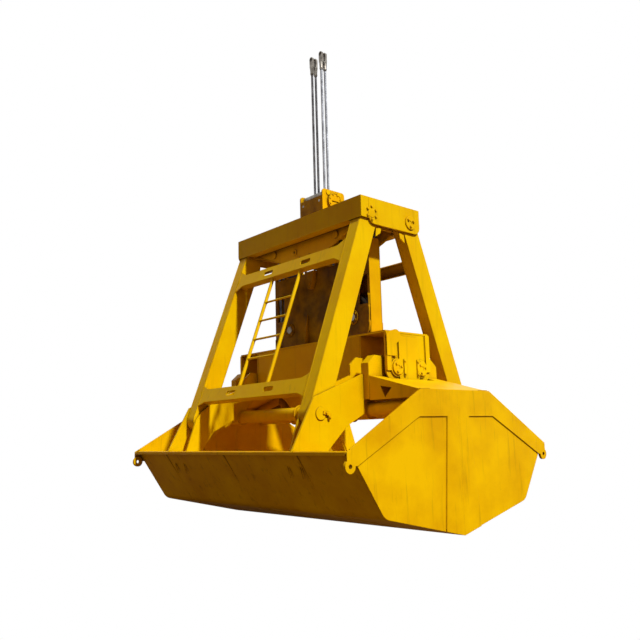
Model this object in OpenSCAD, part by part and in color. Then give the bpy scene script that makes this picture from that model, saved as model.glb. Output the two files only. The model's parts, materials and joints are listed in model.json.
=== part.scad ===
// Four-rope clamshell grab, closed. Heights are measured from the closed lips; the model's origin is the centre
// of the four rope socket pins. X is the way the shells open, Y runs along the hinge pins, Z is up.

/* [Shells] */
// Width of the closed grab along the hinge pins
grab_w = 4000; // [3400:10:4600]
// Half of the closed span at the rim tips
tip_x = 1586; // [1500:1:1650]
// Half span of the back plates at the rim
back_x = 1535; // [1450:1:1560]
// Height of the rim above the lips
rim_z = 868; // [800:1:920]
// Half span at the bend of the shell floor
knee_x = 1128; // [1050:1:1180]
// Height of the bend of the shell floor
knee_z = 260; // [220:1:300]
// Bending radius of the shell floor
knee_r = 150; // [80:1:220]
// Half length of the level top edge of the side plates
top_x = 555; // [520:1:620]
// Height of the side plates at the parting line
top_z = 1447; // [1400:1:1480]
// Thickness of the shell floor plate
floor_t = 16; // [10:1:24]
// Thickness of the side plates
side_t = 16; // [10:1:24]
// Thickness of the edge doubler on the side plates
doubler_t = 12; // [6:1:20]
// Width of the edge doubler along the top edge
doubler_w = 270; // [200:1:300]
// Width of the doubler at the parting line, at its top
post_top_w = 177; // [120:1:240]
// Width of the doubler at the parting line, at the lips
post_foot_w = 280; // [220:1:340]
// Length of the cutting lip bar across the floor
lip_w = 160; // [100:1:220]
// Thickness of the cutting lip bar
lip_t = 44; // [30:1:60]
// Width of the rim bar
rim_bar_w = 68; // [50:1:70]
// Thickness of the rim bar
rim_bar_t = 30; // [16:1:40]
// Radius of the tie lug eyes at the rim tips
tie_r = 62; // [50:1:75]
// Radius of the tie lug holes
tie_hole_r = 21; // [15:1:26]
// Gap between the two closed shells
parting_gap = 0.6; // [0.4:0.1:4]

/* [Shell lugs] */
// Half distance between the two hinge pin lines
hinge_x = 197; // [185:1:215]
// Height of the hinge pins
hinge_z = 1725; // [1700:1:1740]
// Radius of the hinge pins
hinge_pin_r = 60; // [45:1:75]
// Radius of the lug hubs on the hinge pins
hub_r = 116; // [100:1:120]
// Thickness of the lug plates
lug_t = 25; // [16:1:32]
// Gap between an arm and the lug plates beside it
lug_gap = 5; // [3:1:10]
// Depth of the hub block on the outside of each lug
hub_block = 110; // [80:1:130]
// Outer radius of the torsion tubes
tube_r = 80; // [60:1:90]
// Wall of the torsion tubes
tube_wall = 12; // [8:1:20]
// Half distance between the torsion tubes
tube_x = 448; // [440:1:470]
// Height of the torsion tubes
tube_z = 1278; // [1260:1:1290]
// Depth of the shoulder braces
brace_h = 130; // [90:1:150]
// Thickness of the shoulder plates
brace_t = 14; // [8:1:20]

/* [Arms] */
// Half distance between the arm pins in the head
arm_head_x = 325; // [315:1:330]
// Height of the arm pins in the head
arm_head_z = 3493; // [3480:1:3510]
// Half distance between the arm pins in the shells
foot_x = 1180; // [1160:1:1190]
// Height of the arm pins in the shells
foot_z = 1235; // [1225:1:1250]
// Width of an arm seen along the pins
arm_w = 245; // [220:1:260]
// Depth of an arm along the pins
arm_d = 160; // [130:1:180]
// Wall of the arm box section
arm_wall = 14; // [8:1:24]
// Radius of the arm pins
arm_pin_r = 50; // [35:1:60]
// Distance of the upper crossbar from the arm pins in the head
bar_top_drop = 510; // [490:1:530]
// Distance of the lower crossbar from the arm pins in the head
bar_low_drop = 2137; // [2110:1:2150]
// Height of the upper crossbar
bar_top_h = 165; // [150:1:230]
// Height of the lower crossbar
bar_low_h = 168; // [140:1:176]
// Depth of the crossbar flanges
bar_d = 90; // [60:1:110]
// Thickness of the crossbar plates
bar_t = 14; // [8:1:20]
// Length of the gussets at the crossbar ends
gusset_l = 120; // [80:1:150]
// Extra height of the gussets at each edge of the lower crossbar
gusset_h = 44; // [20:1:60]
// Extra height of the gussets at each edge of the upper crossbar
gusset_top_h = 66; // [40:1:80]

/* [Ladder] */
// Width of the ladder over its stringer centres
ladder_w = 545; // [400:1:600]
// Radius of the ladder stringers
stringer_r = 21; // [15:1:27]
// Radius of the ladder rungs
rung_r = 13; // [9:1:16]
// Distance from rung to rung
rung_pitch = 254; // [240:1:280]
// Number of rungs
rung_n = 4; // [3:1:5]
// Distance of the top rung from the arm pins in the head
rung_drop = 936; // [910:1:950]

/* [Head] */
// Half width of the head across its side beams
head_x = 495; // [480:1:520]
// Half length of the head along its side beams
head_y = 1200; // [1190:1:1240]
// Height of the top of the head
head_z = 3677; // [3660:1:3700]
// Height of the head side beams
head_h = 248; // [230:1:260]
// Width of the head side beams
beam_w = 127; // [100:1:135]
// Wall of the head side beams
beam_wall = 10; // [6:1:11]
// Thickness of the head end plates
end_t = 24; // [16:1:26]
// Height of the head end plates
end_h = 306; // [290:1:320]
// Half distance between the webs under the head
web_x = 330; // [310:1:345]
// Depth of the webs below the side beams
web_drop = 262; // [240:1:280]
// Half length of the bottom edge of the webs
web_foot_y = 270; // [220:1:320]
// Half length of the webs at the side beams
web_top_y = 905; // [890:1:940]
// Thickness of the webs and ribs
web_t = 20; // [12:1:26]

/* [Rope guide] */
// Half width of the rope guide across the head
guide_x = 190; // [176:1:210]
// Half length of the rope guide along the head
guide_y = 222; // [221:1:240]
// Height of the rope guide above the head
guide_h = 470; // [430:1:490]
// Thickness of the rope guide plates
guide_t = 16; // [10:1:20]
// Radius of the guide rollers
roller_r = 44; // [36:1:46]
// Radius of the guide roller pins
roller_pin_r = 16; // [12:1:20]
// Radius of the round slotted cover on the guide
cover_r = 112; // [95:1:116]

/* [Lower beam] */
// Half width of the lower beam
low_x = 355; // [340:1:365]
// Half length of the lower beam over its end plates
low_y = 1355; // [1340:1:1390]
// Height of the lower beam's bottom edge
low_z = 1590; // [1575:1:1600]
// Height of the lower beam's side plates
low_h = 520; // [500:1:540]
// Thickness of the lower beam plates
low_t = 20; // [12:1:24]
// Radius of the lower corners of the beam ends
low_corner_r = 100; // [60:1:110]
// Width of the raised edges of the beam ends
end_edge_w = 70; // [50:1:90]
// How far the raised edges of the beam ends stand out
end_edge_t = 18; // [10:1:24]
// Half thickness of the sheave housing
house_x = 92; // [88:1:110]
// Half length of the sheave housing
house_y = 900; // [895:1:920]
// Gap between the closed sheave housing and the webs of the head
house_gap = 67; // [40:1:120]
// Thickness of the sheave housing plates
house_t = 14; // [10:1:18]
// Width of the posts at the ends of the sheave housing
post_w = 176; // [150:1:184]
// Height of the end posts above the housing's long sides
post_rise = 230; // [100:1:240]

/* [Sheaves and ropes] */
// Diameter of the ropes
rope_d = 34; // [28:1:36]
// Distance between the two ropes of a pair
rope_pair = 64; // [60:1:66]
// Distance between the two rope pairs
rope_rows = 190; // [180:1:200]
// Pitch radius of the rope sheaves
sheave_r = 250; // [230:1:260]
// Width of a sheave rim
sheave_w = 58; // [50:1:64]
// Depth of the rope groove
groove_depth = 34; // [26:1:38]
// Distance between the two lower sheaves of a set
sheave_gap = 68; // [66:1:70]
// Half distance between the two sheave sets
sheave_y = 600; // [590:1:610]
// Height of the lower sheave axles
sheave_low_z = 2400; // [2390:1:2440]
// Height of the upper sheave axles
sheave_top_z = 3380; // [3372:1:3388]
// Radius of the sheave axles
axle_r = 45; // [35:1:55]
// Height at which the free ropes enter their end sockets
rope_top_z = 5840; // [5600:1:6200]
// Length of an end socket from the rope's end to its pin
socket_l = 230; // [200:1:260]
// Outer radius of an end socket's cone
socket_r = 30; // [26:1:31]
// Radius of the hole for the socket pin
socket_hole_r = 19; // [14:1:20]

/* [Hidden] */

// Height of the origin above the closed lips
datum_h = rope_top_z + socket_l;
// Overrun of every cut, and the clearance of a running pin
cut = 2;
run = 0.05;
seat = 0.3;
half_w = grab_w / 2;

yellow = "#EAB400";
dark = "#2B2622";
steel = "#8E9296";

// Moves a piece from heights above the lips to the origin at the rope sockets
module at_datum() translate([0, 0, -datum_h]) children();
// The right half mirrors the left half, and the far end mirrors the near end
module right() mirror([1, 0, 0]) children();
module far() mirror([0, 1, 0]) children();
module both_ends() { children(); far() children(); }
module both_sides() { children(); right() children(); }

// Plate with its outline in X and Z, from y0 towards +Y
module plate_xz(pts, y0, t) translate([0, y0 + t, 0]) rotate([90, 0, 0]) linear_extrude(t) polygon(pts);
// Plate with its outline in Y and Z, from x0 towards +X
module plate_yz(pts, x0, t) translate([x0, 0, 0]) rotate([90, 0, 90]) linear_extrude(t) polygon(pts);
// Round bar along Y, from y0 to y1
module bar_y(x, z, r, y0, y1) translate([x, y1, z]) rotate([90, 0, 0]) cylinder(r = r, h = y1 - y0, $fn = 64);
// Round bar along X, from x0 to x1
module bar_x(y, z, r, x0, x1) translate([x0, y, z]) rotate([0, 90, 0]) cylinder(r = r, h = x1 - x0, $fn = 64);
// Round bar between two points
module rod(p, q, r) {
    v = q - p;
    l = norm(v);
    translate(p) rotate([0, acos(v[2] / l), atan2(v[1], v[0])]) cylinder(r = r, h = l, $fn = 32);
}
module box(x0, x1, y0, y1, z0, z1) translate([x0, y0, z0]) cube([x1 - x0, y1 - y0, z1 - z0]);

// Places that follow from the driving sizes
inner_face = half_w - doubler_t - side_t;
lip_x = parting_gap / 2;
// Unit vectors and inward normals of the back and of the floor, left shell
back_v = [back_x - knee_x, knee_z - rim_z] / norm([back_x - knee_x, knee_z - rim_z]);
floor_v = [knee_x, -knee_z] / norm([knee_x, knee_z]);
back_n = [-back_v[1], back_v[0]];
floor_n = [-floor_v[1], floor_v[0]];
knee = [-knee_x, knee_z];
rim = [-back_x, rim_z];
// Where two lines meet: point a along u, and point b along v
function meet(a, u, b, v) = a
    + u * ((b[0] - a[0]) * v[1] - (b[1] - a[1]) * v[0]) / (u[0] * v[1] - u[1] * v[0]);
knee_c = meet(knee + back_n * knee_r, back_v, knee + floor_n * knee_r, floor_v);
back_a = atan2(back_n[1], back_n[0]);
floor_a = atan2(floor_n[1], floor_n[0]);
bend_n = 12;
// Points round the bend at radius r, from the back to the floor
function bend(r) = [for (i = [0:bend_n]) let (a = back_a + (floor_a - back_a) * i / bend_n)
    knee_c - r * [cos(a), sin(a)]];
function flip(pts) = [for (i = [len(pts) - 1:-1:0]) pts[i]];
// Height of the floor's outer face at a given x
function floor_at(x) = knee_z * x / knee_x;
// Height of the side plates' top edge at a given x
function edge_at(x) = rim_z + (tip_x - x) * (top_z - rim_z) / (tip_x - top_x);

// The pieces of the left shell
module floor_shell() {
    lip_end = [-lip_w, floor_at(lip_w)];
    outer = concat([rim], bend(knee_r), [lip_end]);
    rim_in = rim[0] + floor_t / back_n[0];
    inner = concat([[rim_in, rim_z]], bend(knee_r - floor_t), [lip_end + floor_n * floor_t]);
    plate_xz(concat(outer, flip(inner)), -inner_face, inner_face * 2);
    box(rim_in - rim_bar_w, rim_in, -inner_face, inner_face, rim_z - rim_bar_t, rim_z);
}

tie_x_share = 0.62;
tie_x = tip_x - tie_r * tie_x_share;
tie_z = rim_z - tie_r * 2;
// Lower end of the doubler band below the rim, and its inner corner under the top edge
band_x_share = 0.29;
band_z_share = 0.45;
inner_x_share = 0.17;
band_end = [-(back_x - doubler_w * band_x_share), rim_z - doubler_w * band_z_share];

module side_plate_near() {
    difference() {
        union() {
            outline = concat([[-lip_x, top_z], [-top_x, top_z], [-back_x, edge_at(back_x)], rim],
                bend(knee_r), [[-lip_x, floor_at(lip_x)]]);
            plate_xz(outline, -half_w + doubler_t, side_t);
            difference() {
                plate_xz(concat([[-lip_x, floor_at(lip_x)], [-lip_x, top_z], [-top_x, top_z], [-tip_x, rim_z],
                    [-tip_x, tie_z], band_end], bend(knee_r)), -half_w, doubler_t);
                plate_xz([[-post_top_w, top_z - doubler_w],
                    [-top_x - doubler_w * inner_x_share, top_z - doubler_w],
                    band_end, band_end - [back_x, 0], [-back_x, -knee_z], [-post_foot_w, -knee_z],
                    [-post_foot_w, floor_at(post_foot_w) + floor_t]], -half_w - cut, doubler_t + cut * 2);
            }
            bar_y(-tie_x, tie_z, tie_r, -half_w, -half_w + doubler_t + side_t);
        }
        bar_y(-tie_x, tie_z, tie_hole_r, -half_w - cut, -half_w + doubler_t + side_t + cut);
    }
}

module lip_bar() {
    tip = [-lip_x, floor_at(lip_x)];
    start = [-lip_w, floor_at(lip_w)];
    plate_xz([start, tip, [-lip_x, lip_t], start + floor_n * lip_t], -inner_face, inner_face * 2);
}

// Arm and lug places along Y, at the near end
arm_out = head_y - end_t - lug_gap / 2;
arm_in = arm_out - arm_d;
lug_out = arm_out + lug_gap;
lug_in = arm_in - lug_gap;
bearing_out = lug_in - lug_t - lug_gap;

// Outline of a lug plate: rim, arm pin, shoulder, hinge pin, and back along its lower edge
lug_start_share = -1.32;
lug_shares = [[-1.07, 0.33], [-0.815, 0.56], [-0.475, 0.86], [-0.475, 1.09], [-0.389, 1.27]];
lug_low_shares = [[-0.43, 0.05], [-0.69, -0.26], [-0.90, -0.71]];
// The inner plates stand further in at the arm pin
lug_inner_start_share = -1.2;
lug_inner_shares = [[-1.09, 0], [-1.02, 0.22], [-0.815, 0.56], [-0.475, 0.86], [-0.475, 1.09], [-0.389, 1.27]];
lug_inner_low_shares = [[-0.62, 0.42], [-0.62, 0.01], [-0.87, -0.28], [-1, -0.69]];
hub_shares = [[-0.389, 1.27], [-0.475, 1.09], [-0.475, 0.3]];
lug_rise = hinge_z - foot_z;
function lug_pt(s) = [s[0] * foot_x, foot_z + s[1] * lug_rise];
// Inner face of the back plate at a given height
function back_in(z) = -back_x + (rim_z - z) * (back_x - knee_x) / (rim_z - knee_z) + floor_t / back_n[0];
lug_toe_share = 0.7;
lug_toe_z = rim_z * lug_toe_share;
function lug_outline(start_share, shares, low_shares) =
    concat([[start_share * foot_x, rim_z]], [for (s = shares) lug_pt(s)],
    [[-hinge_x, hinge_z + hub_r], [-hinge_x, hinge_z - hub_r]], [for (s = low_shares) lug_pt(s)],
    [[back_in(lug_toe_z) + seat, lug_toe_z], [back_in(rim_z) + seat, rim_z]]);
hub_outline = concat([[-hinge_x, hinge_z + hub_r]], [for (s = hub_shares) lug_pt(s)],
    [[-hinge_x, hinge_z - hub_r]]);

module lug_set() {
    difference() {
        union() {
            plate_xz(hub_outline, -lug_out - hub_block, hub_block);
            plate_xz(lug_outline(lug_start_share, lug_shares, lug_low_shares), -lug_out - lug_t, lug_t);
            plate_xz(lug_outline(lug_inner_start_share, lug_inner_shares, lug_inner_low_shares),
                -lug_in, lug_t);
            bar_y(-tube_x, tube_z, tube_r + tube_wall * 2, -lug_out - lug_t, -lug_out);
            bar_y(-hinge_x, hinge_z, hub_r, -low_y + low_t + lug_gap, -lug_in + lug_t);
            bar_y(-foot_x, foot_z, arm_pin_r * 1.3, -lug_out - lug_t - end_t / 2, -lug_out - lug_t);
        }
        bar_y(-hinge_x, hinge_z, hinge_pin_r + run, -low_y, -bearing_out + cut);
        bar_y(-tube_x, tube_z, tube_r + seat, -lug_out - lug_t - cut, -lug_out + cut);
    }
}

module torsion_tube() difference() {
    bar_y(-tube_x, tube_z, tube_r, -inner_face, inner_face);
    bar_y(-tube_x, tube_z, tube_r - tube_wall, -inner_face - cut, inner_face + cut);
}

// Sloping shoulder between the outer lug plate and the side plate
shoulder_z = foot_z + lug_rise * 0.86;
shoulder_y = lug_out + lug_t;
function shoulder_at(y) = top_z + (shoulder_z - top_z) * (inner_face - y) / (inner_face - shoulder_y);
web_window_shares = [[0.23, 1.09], [0.46, 0.87], [0.32, 0.14]];
module shoulder_near() {
    start_y = lug_out + hub_block;
    clear_y = low_y + lug_t * 3;
    x1 = -top_x;
    x2 = -low_x - lug_gap;
    function slope(y, h) = [[-inner_face, top_z - h], [-inner_face, top_z], [-y, shoulder_at(y)],
        [-y, shoulder_at(y) - h]];
    // Web down to the torsion tube, with a three-cornered window
    web_low = tube_z + tube_r + brace_t;
    difference() {
        plate_yz([[-inner_face, web_low], [-inner_face, top_z], [-start_y, shoulder_at(start_y)],
            [-start_y, web_low]], x1, brace_t);
        plate_yz([for (s = web_window_shares)
            [-start_y + s[0] * (start_y - inner_face), web_low + s[1] * brace_h]], x1 - cut, brace_t + cut * 2);
    }
    plate_yz(slope(start_y, brace_t), x1 + brace_t, x2 - x1 - brace_t);
    plate_yz(slope(clear_y, brace_t), x2, -x2 - lip_x);
    plate_yz(slope(clear_y, brace_h), x2, brace_t);
    // Tapered gusset between the two flanges
    top = shoulder_at(clear_y + brace_t) - brace_t;
    waist = top - brace_h / 2;
    foot = top - brace_h * 1.6;
    plate_xz([[x1 + brace_t, top], [x2, top], [x2, waist],
        [x2 - brace_h * 0.4, foot], [x1 + brace_h * 0.6, foot],
        [x1 + brace_t, waist]], -clear_y - brace_t, brace_t);
}

// Arms, in their own frame: the head pin at the origin, the arm hanging down, the near arm
arm_len = norm([foot_x - arm_head_x, arm_head_z - foot_z]);
arm_tilt = atan2(foot_x - arm_head_x, arm_head_z - foot_z);
module in_arm_frame() translate([-arm_head_x, 0, arm_head_z]) rotate([0, arm_tilt, 0]) children();
module arm_near() in_arm_frame() difference() {
    union() {
        difference() {
            box(-arm_w / 2, arm_w / 2, -arm_out, -arm_in, -arm_len, 0);
            box(-arm_w / 2 + arm_wall, arm_w / 2 - arm_wall, -arm_out + arm_wall, -arm_in - arm_wall,
                -arm_len + arm_w, -arm_w / 2);
        }
        bar_y(0, 0, arm_w / 2, -arm_out, -arm_in);
        bar_y(0, -arm_len, arm_w / 2, -arm_out, -arm_in);
    }
    bar_y(0, 0, arm_pin_r + run, -arm_out - cut, -arm_in + cut);
    bar_y(0, -arm_len, arm_pin_r, -arm_out - cut, -arm_in + cut);
}
module foot_pin_near() bar_y(-foot_x, foot_z, arm_pin_r, -arm_out, -arm_in);

// Crossbar with flared ends and two foot slots, at a distance below the head pins
slot_w = bar_t * 4;
slot_l = bar_d * 2;
module foot_slot(y) {
    reach = slot_l / 2 - slot_w / 2;
    translate([y - reach, 0]) circle(d = slot_w, $fn = 32);
    translate([y + reach, 0]) circle(d = slot_w, $fn = 32);
    translate([y - reach, -slot_w / 2]) square([reach * 2, slot_w]);
}
module crossbar(drop, h, rise, slots) in_arm_frame() translate([-arm_w / 2, 0, -drop]) {
    rotate([90, 0, 90]) linear_extrude(bar_t) difference() {
        polygon([[-arm_in, -h / 2 - rise], [-arm_in + gusset_l, -h / 2], [arm_in - gusset_l, -h / 2],
            [arm_in, -h / 2 - rise], [arm_in, h / 2 + rise], [arm_in - gusset_l, h / 2],
            [-arm_in + gusset_l, h / 2], [-arm_in, h / 2 + rise]]);
        if (slots) for (s = [-1, 1]) foot_slot(s * (ladder_w / 2 + slot_l / 2));
    }
    box(bar_t, bar_d, -bearing_out, bearing_out, h / 2 - bar_t, h / 2);
    box(bar_t, bar_d, -bearing_out, bearing_out, -h / 2, -h / 2 + bar_t);
}

module ladder_frame() in_arm_frame() {
    x = -arm_w / 2 + bar_t + stringer_r + seat;
    top = -bar_top_drop - bar_top_h / 2;
    foot = -bar_low_drop + bar_low_h / 2;
    for (s = [-1, 1])
        translate([x, s * ladder_w / 2, foot]) cylinder(r = stringer_r, h = top - foot, $fn = 32);
    for (i = [0:rung_n - 1])
        bar_y(x, -rung_drop - i * rung_pitch, rung_r, -ladder_w / 2, ladder_w / 2);
}

// Head
beam_in = head_x - beam_w;
head_low = head_z - head_h;
module side_beam() {
    // The outer plate and the top run the whole length, and the box section stops at the arms
    box(-head_x, -head_x + beam_wall, -head_y + end_t, head_y - end_t, head_low, head_z);
    box(-head_x + beam_wall, -beam_in, -head_y + end_t, head_y - end_t, head_z - beam_wall, head_z);
    box(-head_x + beam_wall, -beam_in, -bearing_in + web_t, bearing_in - web_t,
        head_low, head_low + beam_wall);
    box(-beam_in - beam_wall, -beam_in, -bearing_in + web_t, bearing_in - web_t, head_low + beam_wall,
        head_z - beam_wall);
    difference() {
        box(-head_x, -beam_in, -head_y, -head_y + end_t, head_low, head_z);
        bar_y(-arm_head_x, arm_head_z, arm_pin_r + seat, -head_y - cut, -head_y + end_t + cut);
    }
}

end_corner_share = 0.3;
module end_plate_near() {
    r = end_h * end_corner_share;
    difference() {
        union() {
            box(-beam_in, head_x, -head_y, -head_y + end_t, head_z - end_h + r, head_z);
            box(-beam_in + r, head_x - r, -head_y, -head_y + end_t, head_z - end_h, head_z);
            for (x = [-beam_in + r, head_x - r])
                bar_y(x, head_z - end_h + r, r, -head_y, -head_y + end_t);
        }
        for (s = [-1, 1])
            bar_y(s * arm_head_x, arm_head_z, arm_pin_r + seat, -head_y - cut, -head_y + end_t + cut);
    }
}

bearing_in = arm_in - lug_gap;
module webs() both_turned() difference() {
    plate_yz([[-web_top_y, head_low + web_t], [-web_top_y, head_low - web_t],
        [-web_foot_y, head_low - web_drop],
        [web_foot_y, head_low - web_drop], [web_top_y, head_low - web_t], [web_top_y, head_low + web_t],
        [web_top_y, head_z - web_t - seat], [-web_top_y, head_z - web_t - seat]], -web_x, web_t);
    for (s = [-1, 1]) {
        bar_x(s * sheave_y, sheave_top_z, axle_r + seat, -web_x - cut, -web_x + web_t + cut);
        bar_x(s * row_y, anchor_z + anchor_h / 3, axle_r / 2 + seat, -web_x - cut, -web_x + web_t + cut);
    }
    bar_x(-out_y, dead_z + anchor_h / 3, axle_r / 2 + seat, -web_x - cut, -web_x + web_t + cut);
}

module ribs() {
    both_ends() {
        difference() {
            box(-head_x + beam_wall, head_x - beam_wall, -bearing_in, -bearing_in + web_t, head_low - web_t,
                head_z - web_t);
            for (s = [-1, 1]) bar_y(s * arm_head_x, arm_head_z, arm_pin_r + seat, -bearing_in - cut,
                -bearing_in + web_t + cut);
        }
        both_sides() box(-beam_in, -web_x, -web_top_y, -web_top_y + web_t, head_low + web_t, head_z - web_t);
    }
    difference() {
        box(-beam_in, beam_in, -head_y + end_t, head_y - end_t, head_z - web_t, head_z);
        box(-guide_x + guide_t * 3, guide_x - guide_t * 3, -guide_y + guide_t * 3, guide_y - guide_t * 3,
            head_z - web_t - cut, head_z + cut);
    }
}

module head_pin_near(s) {
    bar_y(s * arm_head_x, arm_head_z, arm_pin_r, -head_y - end_t, -bearing_in + web_t);
    bar_y(s * arm_head_x, arm_head_z, arm_pin_r * 1.8, -head_y - end_t / 2, -head_y);
}

module axle_x(y, z, half_l) bar_x(y, z, axle_r, -half_l, half_l);

// Grooved sheave on an axle along X, centred on x0
module sheave(x0, y, z) {
    r_out = sheave_r + groove_depth - rope_d / 2;
    r_in = sheave_r - rope_d / 2 - seat;
    hub = axle_r * 1.8;
    w = sheave_w / 2;
    translate([x0, y, z]) rotate([0, 90, 0]) rotate_extrude($fn = 96)
        polygon([[axle_r + run, -w], [hub, -w], [hub, -w / 2], [r_in - groove_depth, -w / 2], [r_in, -w],
            [r_out, -w], [r_out, -w * 0.86], [r_in, -w * 0.45],
                [r_in, w * 0.45], [r_out, w * 0.86], [r_out, w], [r_in, w],
            [r_in - groove_depth, w / 2], [hub, w / 2], [hub, w], [axle_r + run, w]]);
}
// Half turn of rope on a sheave, under it or over it
module rope_turn(x0, y, z, over) translate([x0, y, z]) rotate([90, 0, 90]) rotate([0, 0, over ? 0 : 180])
    rotate_extrude(angle = 180, $fn = 96) translate([sheave_r, 0]) circle(d = rope_d, $fn = 24);

// Rope guide on the head
guide_z = head_z + guide_h;
roller_z = guide_z - roller_r * 1.8;
roller_y = rope_rows / 2 + rope_d / 2 + roller_r + seat;
roller_x = rope_pair / 2 + rope_d / 2 + roller_r + seat;
cross_z = roller_z - roller_r * 2 - guide_t;
module guide_housing() {
    difference() {
        union() {
            both_ends() {
                box(-guide_x, guide_x, -guide_y, -guide_y + guide_t, head_z, roller_z);
                for (s = [-1, 1])
                    bar_y(s * (guide_x - roller_r), roller_z, roller_r, -guide_y, -guide_y + guide_t);
                box(-guide_x + roller_r, guide_x - roller_r, -guide_y, -guide_y + guide_t, roller_z,
                    roller_z + roller_r);
            }
            both_sides() box(-guide_x, -guide_x + guide_t, -guide_y + guide_t, guide_y - guide_t, head_z,
                roller_z - roller_r);
            difference() {
                bar_y(0, roller_z - cover_r, cover_r, -guide_y - guide_t * 2, -guide_y);
                box(-cover_r / 2, cover_r / 2, -guide_y - guide_t * 2 - cut, -guide_y - guide_t,
                    roller_z - cover_r - guide_t / 2, roller_z - cover_r + guide_t / 2);
            }
        }
        for (s = [-1, 1]) {
            bar_y(s * roller_x, roller_z, roller_pin_r + run, -guide_y - cut, guide_y + cut);
            bar_x(s * roller_y, cross_z, roller_pin_r + run, -guide_x - cut, guide_x + cut);
        }
    }
}
// Rollers turn with their own end journals
module roller_along_y(s) {
    l = guide_y - guide_t - lug_gap;
    bar_y(s * roller_x, roller_z, roller_r, -l, l);
    bar_y(s * roller_x, roller_z, roller_pin_r, -guide_y, guide_y);
}
module roller_along_x(s) {
    l = guide_x - guide_t - lug_gap;
    bar_x(s * roller_y, cross_z, roller_r, -l, l);
    bar_x(s * roller_y, cross_z, roller_pin_r, -guide_x, guide_x);
}

// Rope ends: cone socket with a fork eye
module end_socket(x, y) translate([x, y, rope_top_z]) difference() {
    union() {
        cylinder(r1 = rope_d / 2 + lug_gap, r2 = socket_r, h = socket_l * 0.55, $fn = 48);
        box(-socket_r / 2, socket_r / 2, -socket_r, socket_r, socket_l * 0.55 - socket_r / 2, socket_l);
        bar_x(0, socket_l, socket_r, -socket_r / 2, socket_r / 2);
    }
    bar_x(0, socket_l, socket_hole_r, -socket_r, socket_r);
}

// Free rope as a swept tube along hand-picked heights above the guide
rope_route_z = [0, 90, 180, 270, 360, 450, 540, 630, 720, 810,
    900, 990, 1080, 1170, 1260, 1350, 1440, 1530, 1620];
rope_sides = 8;
module free_rope(x, y) {
    z0 = guide_z;
    zs = concat([for (z = rope_route_z) if (z0 + z < rope_top_z - rope_d) z0 + z], [rope_top_z]);
    n = len(zs);
    ring = [for (z = zs) for (k = [0:rope_sides - 1])
        [x + rope_d / 2 * cos(k * 360 / rope_sides), y + rope_d / 2 * sin(k * 360 / rope_sides), z]];
    walls = [for (i = [0:n - 2]) for (k = [0:rope_sides - 1]) let (a = i * rope_sides + k,
        b = i * rope_sides + (k + 1) % rope_sides) each [
            [a, a + rope_sides, b], [b, a + rope_sides, b + rope_sides]]];
    foot = [for (k = [1:rope_sides - 2]) [0, k, k + 1]];
    cap0 = (n - 1) * rope_sides;
    cap = [for (k = [1:rope_sides - 2]) [cap0, cap0 + k + 1, cap0 + k]];
    polyhedron(points = ring, faces = concat(walls, foot, cap));
}

// Ropes inside: two hold the head, two close the shells
pair_x = rope_pair / 2;
row_y = rope_rows / 2;
anchor_z = head_low - web_drop;
anchor_h = web_drop * 0.75;
module holding_run() rod([pair_x, -row_y, anchor_z + anchor_h], [pair_x, -row_y, guide_z], rope_d / 2);
// Wedge socket hung on a cross pin between the webs
module wedge_socket(x, y, z) difference() {
    box(x - rope_d * 0.85, x + rope_d * 0.85, y - rope_d * 1.3, y + rope_d * 1.3, z, z + anchor_h);
    bar_x(y, z + anchor_h / 3, axle_r / 2 + seat, -web_x, web_x);
}
module anchor_pin(y, z, x0) bar_x(y, z + anchor_h / 3, axle_r / 2, x0, web_x + web_t);

// Rope falls of one end: lead, up, down and dead end. They are split at the height of the upper sheave axles
fall_x = sheave_gap / 2;
in_y = -sheave_y + sheave_r;
out_y = -sheave_y - sheave_r;
dead_x = fall_x * 2;
bend_z = roller_z - cover_r * 2;
dead_z = head_low + web_t;
lead_top = [-pair_x, -row_y, bend_z];
lead_foot = [-fall_x, in_y, sheave_low_z];
dead_top = [dead_x, out_y, dead_z];
dead_foot = [fall_x, out_y, sheave_low_z];
// Point at the height of the upper sheave axles on the line from q up to p
function split(p, q) = q + (p - q) * (sheave_top_z - q[2]) / (p[2] - q[2]);
// Stretch of rope from p up to q, which stops short of the pieces at both ends
module fall(p, q) {
    v = q - p;
    short = v / v[2] * (rope_d / 2 * norm([v[0], v[1]]) / v[2] + seat);
    rod(p + short, q - short, rope_d / 2);
}
module falls_near() {
    fall(lead_foot, split(lead_top, lead_foot));
    fall([-fall_x, out_y, sheave_low_z], [0, out_y, sheave_top_z]);
    fall([fall_x, in_y, sheave_low_z], [0, in_y, sheave_top_z]);
    fall(dead_foot, split(dead_top, dead_foot));
}
module leads_near() {
    fall(split(lead_top, lead_foot), lead_top);
    fall(split(dead_top, dead_foot), dead_top);
}

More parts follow.
